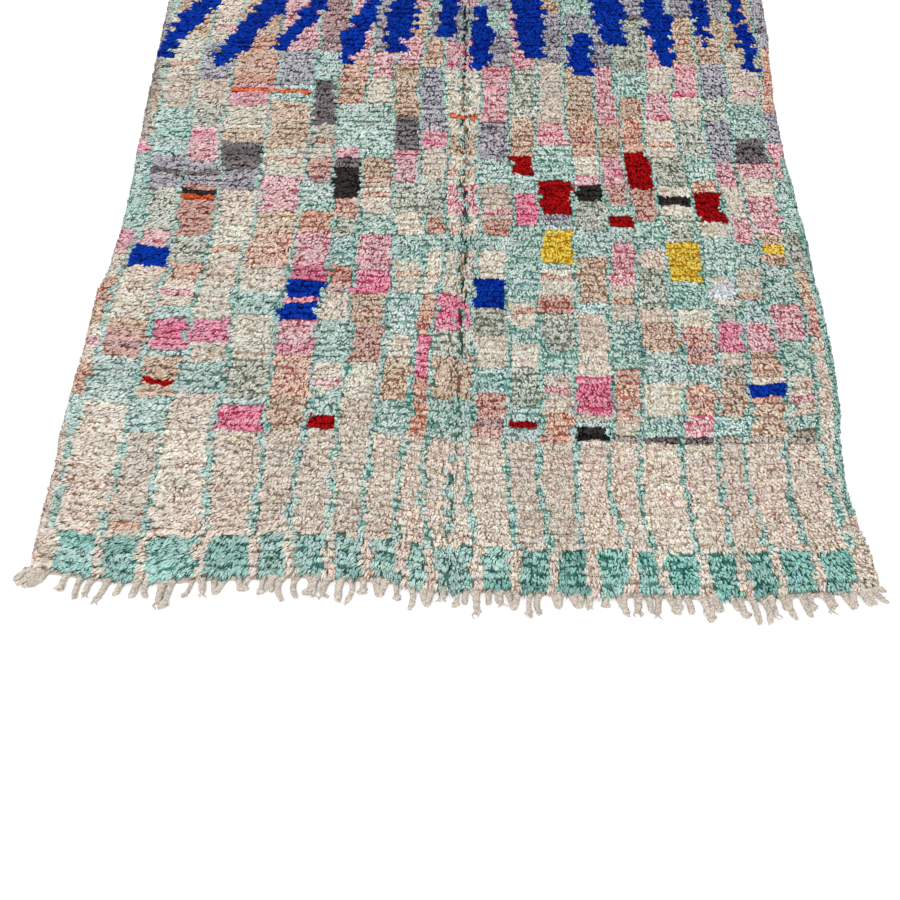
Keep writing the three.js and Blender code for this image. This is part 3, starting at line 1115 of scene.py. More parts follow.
def bedUnder(at, crown, ahead, aside):
    # the height of the bed there: its crown, less its crease and less the rounding of its clump
    sinking = pile["sink"] - pile["sinkLonger"] * at["longer"]
    sunk = creaseDepth(at["column"] + 0.5, at["row"], ahead) * sinking
    fromMiddle = 2 * np.clip(aside, -pile["clumpHalf"], pile["clumpHalf"])
    return crown - sunk - pile["rounding"] * fromMiddle ** 2


def trimSides(chance, at, courses):
    # the pile is trimmed a little inside the selvedges
    count = len(at["along"])
    trim = pile["trim"] + chance.normal(0, pile["trimNoise"], count)
    left = placeOnRug(np.zeros(count), at["along"])[0] + trim + shift[0]
    right = placeOnRug(np.ones(count), at["along"])[0] - trim + shift[0]
    for places in courses:
        places[:, 0] = np.clip(places[:, 0], left, right)


def strandCourses(chance, row, column, strand):
    # where each strand starts in the bed, swells and ends, and the way its sides face: its
    # points are its start + lay * lean * share of the way, at the bed's height there
    at = standingKnots(row, column)
    parted, edges = at["parted"], at["edges"]

    # knots cling together in clumps, which lie the same way; aside and ahead say where a strand
    # stands in its clump and in its row, from -0.5 to 0.5
    inKnot = knotStrands[strand] + chance.uniform(-pile["jitter"], pile["jitter"], (len(row), 2))
    clump, first, clumpWidth = (clumps[key][row, column] for key in ("number", "first", "width"))
    aside = (column + 0.5 + inKnot[:, 0] - first) / clumpWidth - 0.5

    def perClump(spread):
        # the same chance value for all strands of a clump
        return chance.normal(0, spread, knotWool.shape)[row, clump]

    ahead = inKnot[:, 1] + perClump(pile["clumpAhead"])
    angle, lean = leanOfStrands(chance, perClump, at)
    turn = np.radians(angle)
    lean = endInCrease(perClump, at, ahead, turn, lean)
    flat = np.zeros(len(row))
    lay = np.stack([np.sin(turn), -np.cos(turn), flat], -1)

    # the fold pushes the pile back on both sides, and clumps pull their tips together
    opening = openedFold(at["across"], at["along"], bed["openingWidth"], bed["foldOpening"])
    across = at["across"] + at["foldSide"] * opening
    start = np.stack([across + inKnot[:, 0] * knotPitch + shift[0],
                      at["alongNow"] + ahead * rowPitch + shift[1], flat], -1)
    inwards = -aside * clumpWidth * knotPitch * (pile["clumpPull"] + pile["foldPull"] * parted)
    pulled = np.stack([inwards, flat, flat], -1)
    crown = bedCrown(across, at["along"], at["share"])

    def raised(stretch, above):
        # so much above the bed, at that share of the way along a strand
        there = ahead + lay[:, 1] * lean * stretch / rowPitch
        return np.stack([flat, flat, bedUnder(at, crown, there, aside) + above], -1)

    droop = np.maximum(np.maximum(edges["near"], edges["far"]), pile["sideDroop"] * edges["side"])
    noise = chance.normal(0, pile["heightNoise"], len(row))
    stand = readTable(lays, "across", "stand", at["across"]) + pile["standLonger"] * at["longer"]
    fullStand = stand * pile["fullStand"] + noise - pile["fullDroop"] * droop
    fullLay = lay * (pile["fullAt"] * lean)[:, None]
    root = start + raised(0, -pile["rootSunk"])
    full = start + pile["fullPull"] * pulled + fullLay + raised(pile["fullAt"], fullStand)
    tip = start + pulled + lay * lean[:, None] + raised(1, stand + noise - pile["droop"] * droop)
    tip[:, 2] = np.maximum(tip[:, 2], pile["lowest"])
    trimSides(chance, at, (root, full, tip))
    sideAngle = turn + chance.normal(0, pile["twist"], len(row))
    sideways = np.stack([np.cos(sideAngle), np.sin(sideAngle), flat], -1)
    return root, full, tip, sideways, lay


# A strand is a slim seed with four corners: its root, the left and right of its fullest part, and its
# tip. One side is paler than the other, a painted shade on its left side.
strandForm = {
    "faces": np.array([(0, 1, 2), (1, 3, 2), (0, 3, 1), (0, 2, 3)]),
    "map": np.array([(0.5, 0), (0, 0.6), (1, 0.6), (0.5, 1)]),
    "sides": np.array([(0, 0), (0, 1), (1, 0), (0, 0)]),  # how far in from its left and right edge
    "toBody": np.array([0.1, 0.95, 1, 1]),  # from root colour to body colour
    "toTip": np.array([0, 0.55, 0.95, 0.95]),  # from body colour to tip colour, less at the left corner for the painted shade on that side
}


def seedStrands(chance, row, column, strand):
    # the four corners of every strand; its fullest part is half a width away on either side
    root, full, tip, sideways, lay = strandCourses(chance, row, column, strand)
    slim = readTable(rowLooks, "row", "slim", row)
    half = (pile["width"] / 2 * slim * chance.uniform(*pile["sizes"], len(row)))[:, None]
    thick = pile["thick"] * chance.uniform(*pile["sizes"], (len(row), 1))
    full = full + (np.array([0, 0, pile["fullRise"]]) - lay * pile["fullBack"]) * thick
    return np.stack([root, full - sideways * half, full + sideways * half, tip], 1)


def dyeStrands(chance, row, column, height):
    # deep at the root, with painted shade where a strand lies low in the pile and painted light where
    # it stands high, some strands paler than others; the second colour is that of the grooves between
    # fibres, deep dye with painted shade
    count = len(row)
    tip, body, root = (knotDye[part][row, column][:, None] for part in ("tip", "body", "root"))
    washed = chance.normal(pile["washed"], pile["washNoise"], (count, 1, 1))
    washed = np.clip(washed, 0, pile["washedMost"])
    # painted shade and light by height: low corners darken towards the root, high ones wash pale
    high = smoothStep(pile["shadeBelow"], pile["paleAndLitAbove"], height)[:, :, None]
    toBody = strandForm["toBody"][None, :, None] * blend(pile["lowBodyShade"], 1, high)
    toTip = strandForm["toTip"][None, :, None] * washed * high
    shade = chance.normal(pile["shade"], pile["shadeNoise"], (count, 1, 1))
    colours = np.clip(blend(blend(root, body, toBody), tip, toTip) * shade, 0, 1)
    soft = np.isin(knotWool[row, column], softWools)[:, None, None]
    # grooves: undyed wools take on their root's dye, dyed ones their root darkened, a painted shade
    shadedGrooves = np.where(soft, blend(colours, root, pile["softGroove"]), root * pile["dyedGrooveShade"])
    return colours, shadedGrooves


def bedGrid(chance):
    # the bed's upper side, a grid bent to the rows: one line of corners down in each crease and
    # two up in each row, where its height is the crown's less the creases'
    inRow = np.array([0, bed["creaseShare"], 1 - bed["creaseShare"]])
    lines = np.append((np.arange(chart["rows"])[:, None] + inRow).ravel(), chart["rows"])
    column, line = np.meshgrid(np.arange(chart["columns"] + 1), lines)
    inset = bed["inset"] / rug["width"]
    share = inset + (1 - 2 * inset) * column / chart["columns"]
    inFromEnd = np.minimum(line, chart["rows"] - line)
    settled = smoothStep(0, bed["settleRows"], inFromEnd)
    along = line * rowPitch + wander(column, line - 0.5) * settled
    across, alongNow = placeOnRug(share, along)
    inFromSide = np.minimum(column, chart["columns"] - column)
    inside = smoothStep(0, bed["noiseKnots"], np.minimum(inFromEnd, inFromSide))
    across = across + chance.normal(0, bed["acrossNoise"], across.shape) * inside
    alongNow = alongNow + chance.normal(0, bed["alongNoise"], across.shape) * inside
    atCrease = np.arange(len(lines)) % len(inRow) == 0
    ofRow = np.arange(len(lines)) // len(inRow)
    crease = atCrease[:, None] * creases[ofRow]
    starts = np.zeros((chart["rows"], chart["columns"] + 1), bool)
    starts[:, :-1] = clumps["first"] == np.arange(chart["columns"])
    split = starts[np.minimum(ofRow, chart["rows"] - 1)] * ~atCrease[:, None]
    height = bedCrown(across, along, share) - bed["rowCrease"] * crease - bed["clumpCrease"] * split
    top = intoFrame(across, alongNow, np.maximum(height, bed["lowest"]))
    return {"column": column, "line": line, "across": across, "along": along,
            "crease": crease, "split": split, "top": top, "linesInRow": len(inRow)}


def inTwo(a, b, c, d):
    # two triangles for each four corners
    return np.stack([np.stack([a, b, c], -1), np.stack([a, c, d], -1)], -2).reshape(-1, 3)


def bedFaces(number, low, under):
    # the upper side, the underside and four walls: the side walls match line for line, and at
    # each end the fine edge fans out to the coarse one
    upper = inTwo(number[:-1, :-1], number[:-1, 1:], number[1:, 1:], number[1:, :-1])
    lower = inTwo(low[:-1, :-1], low[1:, :-1], low[1:, 1:], low[:-1, 1:])
    left = inTwo(number[1:, 0], low[1:, 0], low[:-1, 0], number[:-1, 0])
    right = inTwo(number[:-1, -1], low[:-1, -1], low[1:, -1], number[1:, -1])
    middle = np.arange(chart["columns"]) + 0.5
    fan = np.searchsorted(under, middle) - 1
    nearest = fan + (middle - under[fan] > under[fan + 1] - middle)
    change = np.array([under[k] + int(np.sum(nearest[under[k]:under[k + 1]] == k))
                       for k in range(len(under) - 1)])
    ends = []
    for end, order in ((0, (0, 1, 2)), (-1, (0, 2, 1))):
        fine = np.stack([number[end, :-1], low[end, nearest], number[end, 1:]], -1)
        coarse = np.stack([low[end, :-1], low[end, 1:], number[end, change]], -1)
        ends.append(np.concatenate([fine[:, order], coarse[:, order]]))
    return [upper, lower, left, right, *ends]


def dyeBed(grid, upper, knotRow, knotColumn):
    # every upper corner takes the wool of the knot its face belongs to: between its body and root
    # colour on a pillow, and in a crease or along the fold a painted shade, a darker share of the
    # root's
    body, root = (knotDye[part][knotRow, knotColumn][:, None] for part in ("body", "root"))
    sunk = np.clip(bed["creaseShadeAmount"] * grid["crease"] + bed["clumpShadeAmount"] * grid["split"], 0, 1)
    # painted shade along the open fold as well
    fold = openedFold(grid["across"], grid["along"], bed["foldWidth"])
    sunk = np.maximum(sunk, fold).ravel()[upper][..., None]
    soft = np.isin(knotWool[knotRow, knotColumn], softWools)
    packed = np.where(soft, bed["softPacked"], bed["packed"])[:, None, None]
    colours = blend(blend(body, root, packed), root * bed["creaseShade"], sunk)
    return colours, blend(colours, root * bed["grooveShade"], bed["grooveAmount"])


def bedFibre(chance, grid, upper, knotRow, knotColumn):
    # the fibre's map is turned to the lay of the pile, clump by clump, about the clump's middle:
    # u is aside * cos + ahead * sin, and v is ahead * cos - aside * sin
    clump, first, width = (clumps[key][knotRow, knotColumn] for key in ("number", "first", "width"))
    middle = (first + width / 2) * knotPitch
    clumpTurn = chance.normal(0, pile["clumpTurn"], knotWool.shape)[knotRow, clump]
    turn = np.radians(layOfPile(middle - rug["width"] / 2, knotRow * rowPitch) + clumpTurn)[:, None]
    aside = grid["column"].ravel()[upper] * knotPitch - middle[:, None]
    ahead = (grid["line"].ravel()[upper] - knotRow[:, None] - 0.5) * rowPitch
    fibre = np.stack([(aside * np.cos(turn) + ahead * np.sin(turn)) / pile["width"],
                      (ahead * np.cos(turn) - aside * np.sin(turn)) / bed["fibreLength"]], -1)
    return fibre + chance.uniform(0, fibreSpread, knotWool.shape + (2,))[knotRow, clump][:, None]


def bedBake(grid, under, parts):
    # the bake's map: the upper side, then the underside, then the four walls in narrow strips
    across = np.concatenate([grid["column"].ravel(), np.tile(under, len(grid["line"]))])
    along = np.concatenate([grid["line"].ravel(), np.repeat(grid["line"][:, 0], len(under))])
    across, along = across / chart["columns"], along / chart["rows"]
    isTop = np.arange(len(across)) < grid["line"].size
    flat = np.where(isTop, blend(*bed["topMap"], across), blend(*bed["underMap"], across))
    upper, lower, *walls = parts
    places = [np.stack([flat, along], -1)[sheet] for sheet in (upper, lower)]
    for wall, run, start in zip(walls, (along, along, across, across), bed["wallMaps"]):
        places.append(np.stack([start + bed["wallMap"] * isTop[wall], run[wall]], -1))
    return np.concatenate(places)


def makeBed():
    # a fine grid over the pillows, closed by a coarse underside
    chance = np.random.default_rng([pile["seed"], bed["seed"]])
    grid = bedGrid(chance)
    top = grid["top"]
    under = np.linspace(0, chart["columns"], bed["underColumns"] + 1).astype(int)
    bottom = top[:, under].copy()
    bottom[..., 2] = bed["floor"] / 1000
    number = np.arange(top.shape[0] * top.shape[1]).reshape(top.shape[:2])
    low = number.size + np.arange(bottom.shape[0] * bottom.shape[1]).reshape(bottom.shape[:2])
    parts = bedFaces(number, low, under)
    faces = np.concatenate(parts)
    points = np.concatenate([top.reshape(-1, 3), bottom.reshape(-1, 3)])
    rest = len(faces) - len(parts[0])

    rows, columns = top.shape[0] - 1, top.shape[1] - 1
    knotRow = np.repeat(np.arange(rows) // grid["linesInRow"], columns * 2)
    knotColumn = np.tile(np.repeat(np.arange(columns), 2), rows)
    colours, shadedGrooves = dyeBed(grid, parts[0], knotRow, knotColumn)
    dull = np.broadcast_to(toLight(bed["under"]), (rest, 3, 3))
    dyes = {"wool": np.concatenate([colours, dull]).reshape(-1, 3),
            "shadedGroove": np.concatenate([shadedGrooves, dull]).reshape(-1, 3)}

    fibre = bedFibre(chance, grid, parts[0], knotRow, knotColumn)
    fibre = np.concatenate([fibre, np.zeros((rest, 3, 2))])
    tufts = tuftMap(points[:, 0] * 1000 - shift[0], points[:, 1] * 1000 - shift[1])[faces]
    maps = {"OFBake": bedBake(grid, under, parts).reshape(-1, 2), "yarn": fibre.reshape(-1, 2),
            "tufts": tufts.reshape(-1, 2), "sides": np.ones((faces.size, 2))}
    return makePiece("pile_bed", points, faces, dyes, maps)


pileBed = makeBed()
print("bed laid:", len(pileBed.data.polygons), "faces")


def makeStrip(number, firstColumn, lastColumn):
    # all the strands of the knots in some columns; each has a cell of its own in the bake's map,
    # and its own stretch of fibre
    chance = np.random.default_rng([pile["seed"], number])
    row, column, strand = (index.ravel() for index in np.meshgrid(
        np.arange(chart["rows"]), np.arange(firstColumn, lastColumn),
        np.arange(len(knotStrands)), indexing="ij"))
    points = seedStrands(chance, row, column, strand)
    colours, shadedGrooves = dyeStrands(chance, row, column, points[:, :, 2])
    count = len(points)
    faces = (np.arange(count)[:, None, None] * points.shape[1] + strandForm["faces"]).reshape(-1, 3)
    cellsAcross = math.ceil(math.sqrt(count * 2))
    cellsDown = math.ceil(count / cellsAcross)
    baked = ownCells(strandForm["map"], count, cellsAcross, cellsDown, pile["cellMargin"])
    fibre = strandForm["map"] + chance.uniform(0, fibreSpread, (count, 1, 2))
    tufts = tuftMap(points[:, :, 0] - shift[0], points[:, :, 1] - shift[1])
    # some strands get a painted shadow line along their side
    shadowLined = chance.random((count, 1, 1)) < pile["shadowLinedShare"]
    sides = np.where(shadowLined, strandForm["sides"], 1)
    maps = {"OFBake": baked, "yarn": fibre, "tufts": tufts, "sides": sides}
    maps = {name: places.reshape(-1, 2)[faces] for name, places in maps.items()}
    dyes = {"wool": colours.reshape(-1, 3), "shadedGroove": shadedGrooves.reshape(-1, 3)}
    name = f"pile_strip_{number + 1:02d}"
    return makePiece(name, points.reshape(-1, 3) / 1000, faces, dyes, maps)


edges = np.linspace(0, chart["columns"], pile["strips"] + 1).astype(int)
pileStrips = [makeStrip(n, edges[n], edges[n + 1]) for n in range(pile["strips"])]
print("pile tied:", sum(len(strip.data.polygons) for strip in pileStrips), "faces")


def tubeAlong(paths, radii, sides):
    # a round section carried along each path: paths is (tubes, steps, 3), radii (tubes, steps),
    # and a place on the tube is path + radius * (sideways * cos(turn) + over * sin(turn))
    tiny = 1e-9
    forward = np.gradient(paths, axis=1)
    forward /= np.linalg.norm(forward, axis=2, keepdims=True) + tiny
    sideways = np.cross(forward, np.array([0.0, 0.0, 1.0]))
    sideways /= np.linalg.norm(sideways, axis=2, keepdims=True) + tiny
    over = np.cross(sideways, forward)
    turn = np.linspace(0, 2 * np.pi, sides, endpoint=False)
    ring = (sideways[:, :, None] * np.cos(turn)[:, None] + over[:, :, None] * np.sin(turn)[:, None])
    body = paths[:, :, None] + ring * radii[:, :, None, None]
    tubes, steps = paths.shape[:2]
    points = np.concatenate([body.reshape(tubes, -1, 3), paths[:, :1], paths[:, -1:]], 1)

    # two triangles for each four corners along the tube, then a fan over each end
    step, side = np.meshgrid(np.arange(steps - 1), np.arange(sides), indexing="ij")
    after = (side + 1) % sides
    a, b = step * sides + side, step * sides + after
    c, d = (step + 1) * sides + after, (step + 1) * sides + side
    halves = [np.stack(corners, -1).reshape(-1, 3) for corners in ((a, b, c), (a, c, d))]
    around = np.arange(sides)
    foot = np.stack([(around + 1) % sides, around, np.full(sides, steps * sides)], -1)
    last = (steps - 1) * sides
    end = np.stack([last + around, last + (around + 1) % sides, np.full(sides, steps * sides + 1)], -1)
    one = np.concatenate([*halves, foot, end])
    faces = (np.arange(tubes)[:, None, None] * points.shape[1] + one).reshape(-1, 3)
    alongShare = np.concatenate([np.repeat(np.linspace(0, 1, steps), sides), [0, 1]])
    aroundShare = np.concatenate([np.tile(around / sides, steps), [0.5, 0.5]])
    return points, faces, np.stack([aroundShare, alongShare], -1)


def twistYarns(chance):
    # the path of every yarn and its radius on the way: each tassel is yarns turned round each
    # other, so a yarn lies apart * cos(turn) to the side of its rope's middle, and above the
    # floor by a share of 1 + sin(turn); the kind of the tassel shapes its end
    count, yarns = len(tassels["share"]), fringe["yarns"]
    across, alongNow = placeOnRug(tassels["share"], np.zeros(count))
    tassel = np.repeat(np.arange(count), yarns)
    order = np.tile(np.arange(yarns), count)[:, None]
    steps = np.linspace(0, 1, fringe["steps"])
    kind = tassels["kind"][tassel][:, None]
    size = chance.uniform(*fringe["sizes"], count)
    size[-len(cornerRopes):] *= fringe["cornerThickness"]

    def perTassel(values):
        # a tassel's value for each of its yarns
        return values[tassel][:, None]

    length, lean = perTassel(tassels["length"]), perTassel(tassels["lean"])
    radius = fringe["yarnRadius"] * perTassel(size)

    # the yarns start spread along the heading, close into a rope, and open again at the end
    foot = 1 - smoothStep(0, fringe["closedBy"], steps)
    ending = smoothStep(fringe["endFrom"], 1, steps)
    knob = fringe["knobSize"] * bump(steps - fringe["knobAt"], fringe["knobLength"])
    knob = np.where(kind == "knob", knob, 0)
    neck = np.where(kind == "knob", fringe["neck"], 1.0)
    gather = 1 + fringe["spread"] * foot
    apart = radius * fringe["yarnGap"] * (gather * neck + knob)
    spin = order * 2 * np.pi / yarns + perTassel(chance.uniform(0, fringe["turnSpread"], count))
    turn = spin + steps * 2 * np.pi * length / fringe["twistEvery"]
    splay = np.where(kind == "brush", (order - 1) * fringe["splay"] * ending, 0)
    curl = perTassel(chance.normal(0, fringe["curl"], count))
    curl = np.where(kind == "joined", 0, curl)
    yarnLengths = chance.uniform(*fringe["yarnLengths"], (len(tassel), 1))
    x = perTassel(across) + lean * steps ** fringe["leanCurve"] + curl * np.sin(np.pi * steps)
    x = x + np.cos(turn) * apart + splay
    y = perTassel(alongNow - rug["heading"] + fringe["rootInside"]) - length * steps * yarnLengths
    stacked = (1 + np.sin(turn)) * np.minimum(apart, fringe["stackMost"]) * fringe["stack"]
    z = radius * fringe["lift"] + stacked

    # rope ends are rounded off like a quarter circle, brush ends thin out
    pastRound = np.clip((steps - fringe["roundFrom"]) / fringe["roundOver"], 0, 1)
    roundEnd = np.sqrt(np.clip(1 - pastRound ** 2, fringe["roundLeast"], 1))
    thinEnd = 1 - fringe["thinning"] * ending
    radii = radius * np.where(kind == "brush", thinEnd, roundEnd)
    radii = radii * (1 + fringe["knobSwell"] * knob + fringe["footSwell"] * foot) * neck
    return np.stack([x + shift[0], y + shift[1], z], -1), radii


def makeFringe():
    # all the tassels in one piece, every yarn in its own shade
    chance = np.random.default_rng(fringe["seed"] + 1)
    points, faces, places = tubeAlong(*twistYarns(chance), fringe["sides"])
    tubes = len(points)
    shade = chance.normal(1, fringe["shadeNoise"], tubes)[:, None, None]
    colours = np.clip(toLight(fringe["yarn"]) * shade * np.ones(points.shape), 0, 1).reshape(-1, 3)
    cellsAcross = math.ceil(math.sqrt(tubes))
    baked = ownCells(places, tubes, cellsAcross, cellsAcross, fringe["cellMargin"])
    fibre = places + chance.uniform(0, fibreSpread, (tubes, 1, 2))
    maps = {"OFBake": baked.reshape(-1, 2)[faces], "yarn": fibre.reshape(-1, 2)[faces]}
    dyes = {"wool": colours, "shadedGroove": colours * fringe["shadedGroove"]}
    return makePiece("fringe_tassels", points.reshape(-1, 3) / 1000, faces, dyes, maps)


fringeTassels = makeFringe()
print("fringe twisted:", len(fringeTassels.data.polygons), "faces")


class Wire:
    # A socket that works in sums: each operator adds the Math node it needs.
    def __init__(self, finish, socket):
        self.finish, self.socket = finish, socket

    def combine(self, operation, first, second):
        return self.finish.node("ShaderNodeMath", {"operation": operation}, {0: first, 1: second})

    def __add__(self, other):
        return self.combine("ADD", self, other)

    def __radd__(self, other):
        return self.combine("ADD", other, self)

    def __sub__(self, other):
        return self.combine("SUBTRACT", self, other)

    def __rsub__(self, other):
        return self.combine("SUBTRACT", other, self)

    def __mul__(self, other):
        return self.combine("MULTIPLY", self, other)

    def __rmul__(self, other):
        return self.combine("MULTIPLY", other, self)


class Finish:
    # A material's or a world's nodes: node() adds any node, from its type, its settings and then
    # its sockets, and feed() gives a value or a link to the shader.
    def __init__(self, owner, shaderName="Principled BSDF"):
        owner.use_nodes = True
        self.owner, self.tree = owner, owner.node_tree
        self.shader = self.tree.nodes[shaderName]

    def join(self, value, socket):
        if isinstance(value, Wire):
            self.tree.links.new(value.socket, socket)
        else:
            socket.default_value = value

    def node(self, kind, settings=None, sockets=None, output=0):
        made = self.tree.nodes.new(kind)
        for name, value in (settings or {}).items():
            setattr(made, name, value)
        for key, value in (sockets or {}).items():
            self.join(value, self.pick(made.inputs, key))
        return Wire(self, self.pick(made.outputs, output))

    def pick(self, sockets, key):
        # a socket by its number, name or identifier
        return next(s for n, s in enumerate(sockets) if key in (n, s.name, s.identifier))

    def feed(self, name, value):
        self.join(value, self.shader.inputs[name])


def softStep(finish, value, low, high):
    # 0 below low and 1 above high, with a soft rise between
    return finish.node("ShaderNodeMapRange", {"interpolation_type": "SMOOTHSTEP"},
                       {"Value": value, "From Min": low, "From Max": high})


def fibresAlong(finish, look):
    # noise drawn out along each strand's own map
    own = finish.node("ShaderNodeUVMap", {"uv_map": "yarn"}, output="UV")
    drawn = finish.node("ShaderNodeMapping", {"vector_type": "POINT"},
                        {"Vector": own, "Scale": look["streaks"]})
    return finish.node("ShaderNodeTexNoise", {"noise_dimensions": "2D"},
                       {"Vector": drawn, "Scale": 1.0, "Detail": look["detail"],
                        "Roughness": look["fineShare"]}, output="Fac")


def mixDyes(finish, raised):
    # each strand's groove colour, deep dye with painted shade, where the surface is low, its own dye
    # where it is raised
    dye, shadedGroove = (finish.node("ShaderNodeAttribute", {"attribute_name": name}, output="Color")
                   for name in ("wool", "shadedGroove"))
    return finish.node("ShaderNodeMix", {"data_type": "RGBA"},
                       {"Factor": raised, "A_Color": shadedGroove, "B_Color": dye}, output="Result_Color")


def bumped(finish, look, raised, **facing):
    # the raised parts pushed out by so many metres, on the surface's own facing or a given one
    return finish.node("ShaderNodeBump", None, {"Strength": look["bumps"], "Height": raised,
                                                "Distance": look["bumpHeight"], **facing},
                       output="Normal")


yarnLook = {
    "streaks": (3.0, 14.0, 1.0),  # the fibres' noise: cells round a yarn, and along it
    "detail": 2.0,
    "fineShare": 0.55,  # how strong the noise's finer parts are
    "grooveEdges": (0.3, 0.6),  # a groove below the first value of the noise, none above the second
    "roughest": 0.98,
    "smoother": 0.12,  # how much smoother the highest fibres are
    "gloss": 0.08,
    "bumps": 0.6,
    "bumpHeight": 0.0004,  # metres
}


def makeWarpYarn():
    # fine fibres run along each yarn, with the groove colour, a painted shade, where their noise is
    # low
    yarn = Finish(bpy.data.materials.new("warp yarn"))
    fibre = fibresAlong(yarn, yarnLook)
    raised = softStep(yarn, fibre, *yarnLook["grooveEdges"])
    yarn.feed("Base Color", mixDyes(yarn, raised))
    yarn.feed("Roughness", yarnLook["roughest"] - fibre * yarnLook["smoother"])
    yarn.feed("Normal", bumped(yarn, yarnLook, raised))
    yarn.feed("Specular IOR Level", yarnLook["gloss"])
    return yarn.owner


pileLook = {
    "bendScale": 1.1,  # the noise that bends the grooves between tufts: its cells to a tuft
    "bendDetail": 1.0,
    "bend": 1.1,  # how far it bends them, in tufts
    "patchScale": 0.6,  # the noise that makes the grooves wide here and narrow there
    "patchDetail": 2.0,
    "patchEdges": (0.35, 0.65),
    "grooveWidths": (0.01, 0.11),  # the grooves' widths at those edges, in tufts
    "streaks": (2.0, 0.3, 1.0),  # the fibres' noise: cells across a strand, and along it
    "detail": 2.0,
    "fineShare": 0.5,
    "streakEdges": (0.34, 0.46),  # dark fibres below the first value of the noise
    "streakDepth": 0.15,
    "shadowSideEdges": (0.03, 0.22),  # the painted shadow line along a strand's side, as shares of its width
    "faceUp": 0.72,  # how nearly upwards the wool is shaded
    "roughness": 0.95,
    "gloss": 0.08,
    "bumps": 0.7,
    "bumpHeight": 0.001,  # metres
}


def tuftGrooves(wool):
    # thin broken grooves between the tufts, 0 at their bottom and 1 on a tuft: the edges of a cell
    # pattern bent by noise, wider or narrower from place to place. They carry painted shade in the
    # colour and a dent in the bump.
    tufts = wool.node("ShaderNodeUVMap", {"uv_map": "tufts"}, output="UV")
    flow = wool.node("ShaderNodeTexNoise", {"noise_dimensions": "2D"},
                     {"Vector": tufts, "Scale": pileLook["bendScale"],
                      "Detail": pileLook["bendDetail"]}, output="Color")
    bend = (pileLook["bend"], pileLook["bend"], 0)
    bent = wool.node("ShaderNodeVectorMath", {"operation": "MULTIPLY_ADD"},
                     {0: flow, 1: bend, 2: tufts})
    cells = wool.node("ShaderNodeTexVoronoi",
                      {"voronoi_dimensions": "2D", "feature": "DISTANCE_TO_EDGE"},
                      {"Vector": bent, "Scale": 1.0}, output="Distance")
    patches = wool.node("ShaderNodeTexNoise", {"noise_dimensions": "2D"},
                        {"Vector": tufts, "Scale": pileLook["patchScale"],
                         "Detail": pileLook["patchDetail"]}, output="Fac")
    (low, high), (narrow, wide) = pileLook["patchEdges"], pileLook["grooveWidths"]
    width = wool.node("ShaderNodeMapRange", None, {"Value": patches, "From Min": low,
                                                   "From Max": high, "To Min": narrow, "To Max": wide})
    return softStep(wool, cells, 0.0, width)


def makePileWool():
    # grooves between the tufts and faint fibres along each strand, both with painted shade, and a
    # painted shadow line at a strand's side
    wool = Finish(bpy.data.materials.new("pile wool"))
    low, high = pileLook["streakEdges"]
    fibre = wool.node("ShaderNodeMapRange", None, {"Value": fibresAlong(wool, pileLook),
                                                   "From Min": low, "From Max": high})
    sides = wool.node("ShaderNodeUVMap", {"uv_map": "sides"}, output="UV")
    fromSide = wool.node("ShaderNodeSeparateXYZ", None, {"Vector": sides}, output="X")
    # a painted shadow line along a strand's side
    side = softStep(wool, fromSide, *pileLook["shadowSideEdges"])
    depth = pileLook["streakDepth"]
    raised = tuftGrooves(wool) * (fibre * depth + (1 - depth)) * side
    wool.feed("Base Color", mixDyes(wool, raised))
    wool.feed("Roughness", pileLook["roughness"])

    # soft wool scatters light, so its strands are shaded as if they faced more nearly upwards
    faceUp = pileLook["faceUp"]
    facing = wool.node("ShaderNodeNewGeometry", output="Normal")
    softened = wool.node("ShaderNodeVectorMath", {"operation": "MULTIPLY_ADD"},
                         {0: facing, 1: (1 - faceUp, 1 - faceUp, 1 - faceUp), 2: (0, 0, faceUp)})
    wool.feed("Normal", bumped(wool, pileLook, raised, Normal=softened))
    wool.feed("Specular IOR Level", pileLook["gloss"])
    return wool.owner


weaveLook = {
    "ribs": [("Y", 90.0, 1.2, 0.6), ("X", 60.0, 1.0, 0.4)],  # bands along, scale, sway, share
    "swayScale": 3.0,
    "between": 0.75,  # painted shade: how much of the dye's colour shows between the ribs
    "ribHighlight": 0.4,  # painted light: how much lighter it is on them
    "roughness": 0.95,
    "gloss": 0.2,
    "bumps": 0.8,
    "bumpHeight": 0.0008,  # metres
}


def makeGroundFinish():
    # plain weave: weft ribs crossing warp ribs, both slightly uneven, with painted shade between the
    # ribs and painted light on them
    weave = Finish(bpy.data.materials.new("woven ground"))
    place = weave.node("ShaderNodeTexCoord", output="Object")
    weft, warp = (weave.node("ShaderNodeTexWave", {"bands_direction": direction},
                             {"Vector": place, "Scale": scale, "Distortion": sway,
                              "Detail Scale": weaveLook["swayScale"]}, output="Fac") * share
                  for direction, scale, sway, share in weaveLook["ribs"])
    ribs = weft + warp
    dye = weave.node("ShaderNodeAttribute", {"attribute_name": "wool"}, output="Color")
    # painted light on the ribs and painted shade between them
    ribLightAndShade = ribs * weaveLook["ribHighlight"] + weaveLook["between"]
    shaded = weave.node("ShaderNodeVectorMath", {"operation": "SCALE"},
                        {"Vector": dye, "Scale": ribLightAndShade})
    weave.feed("Base Color", shaded)
    weave.feed("Roughness", weaveLook["roughness"])
    weave.feed("Normal", bumped(weave, weaveLook, ribs))
    weave.feed("Specular IOR Level", weaveLook["gloss"])
    return weave.owner


pileWool = makePileWool()
warpYarn = makeWarpYarn()
groundWeave = makeGroundFinish()
rugGround.data.materials.append(groundWeave)
fringeTassels.data.materials.append(warpYarn)
for strip in [pileBed, *pileStrips]:
    strip.data.materials.append(pileWool)
print("finishes mixed")

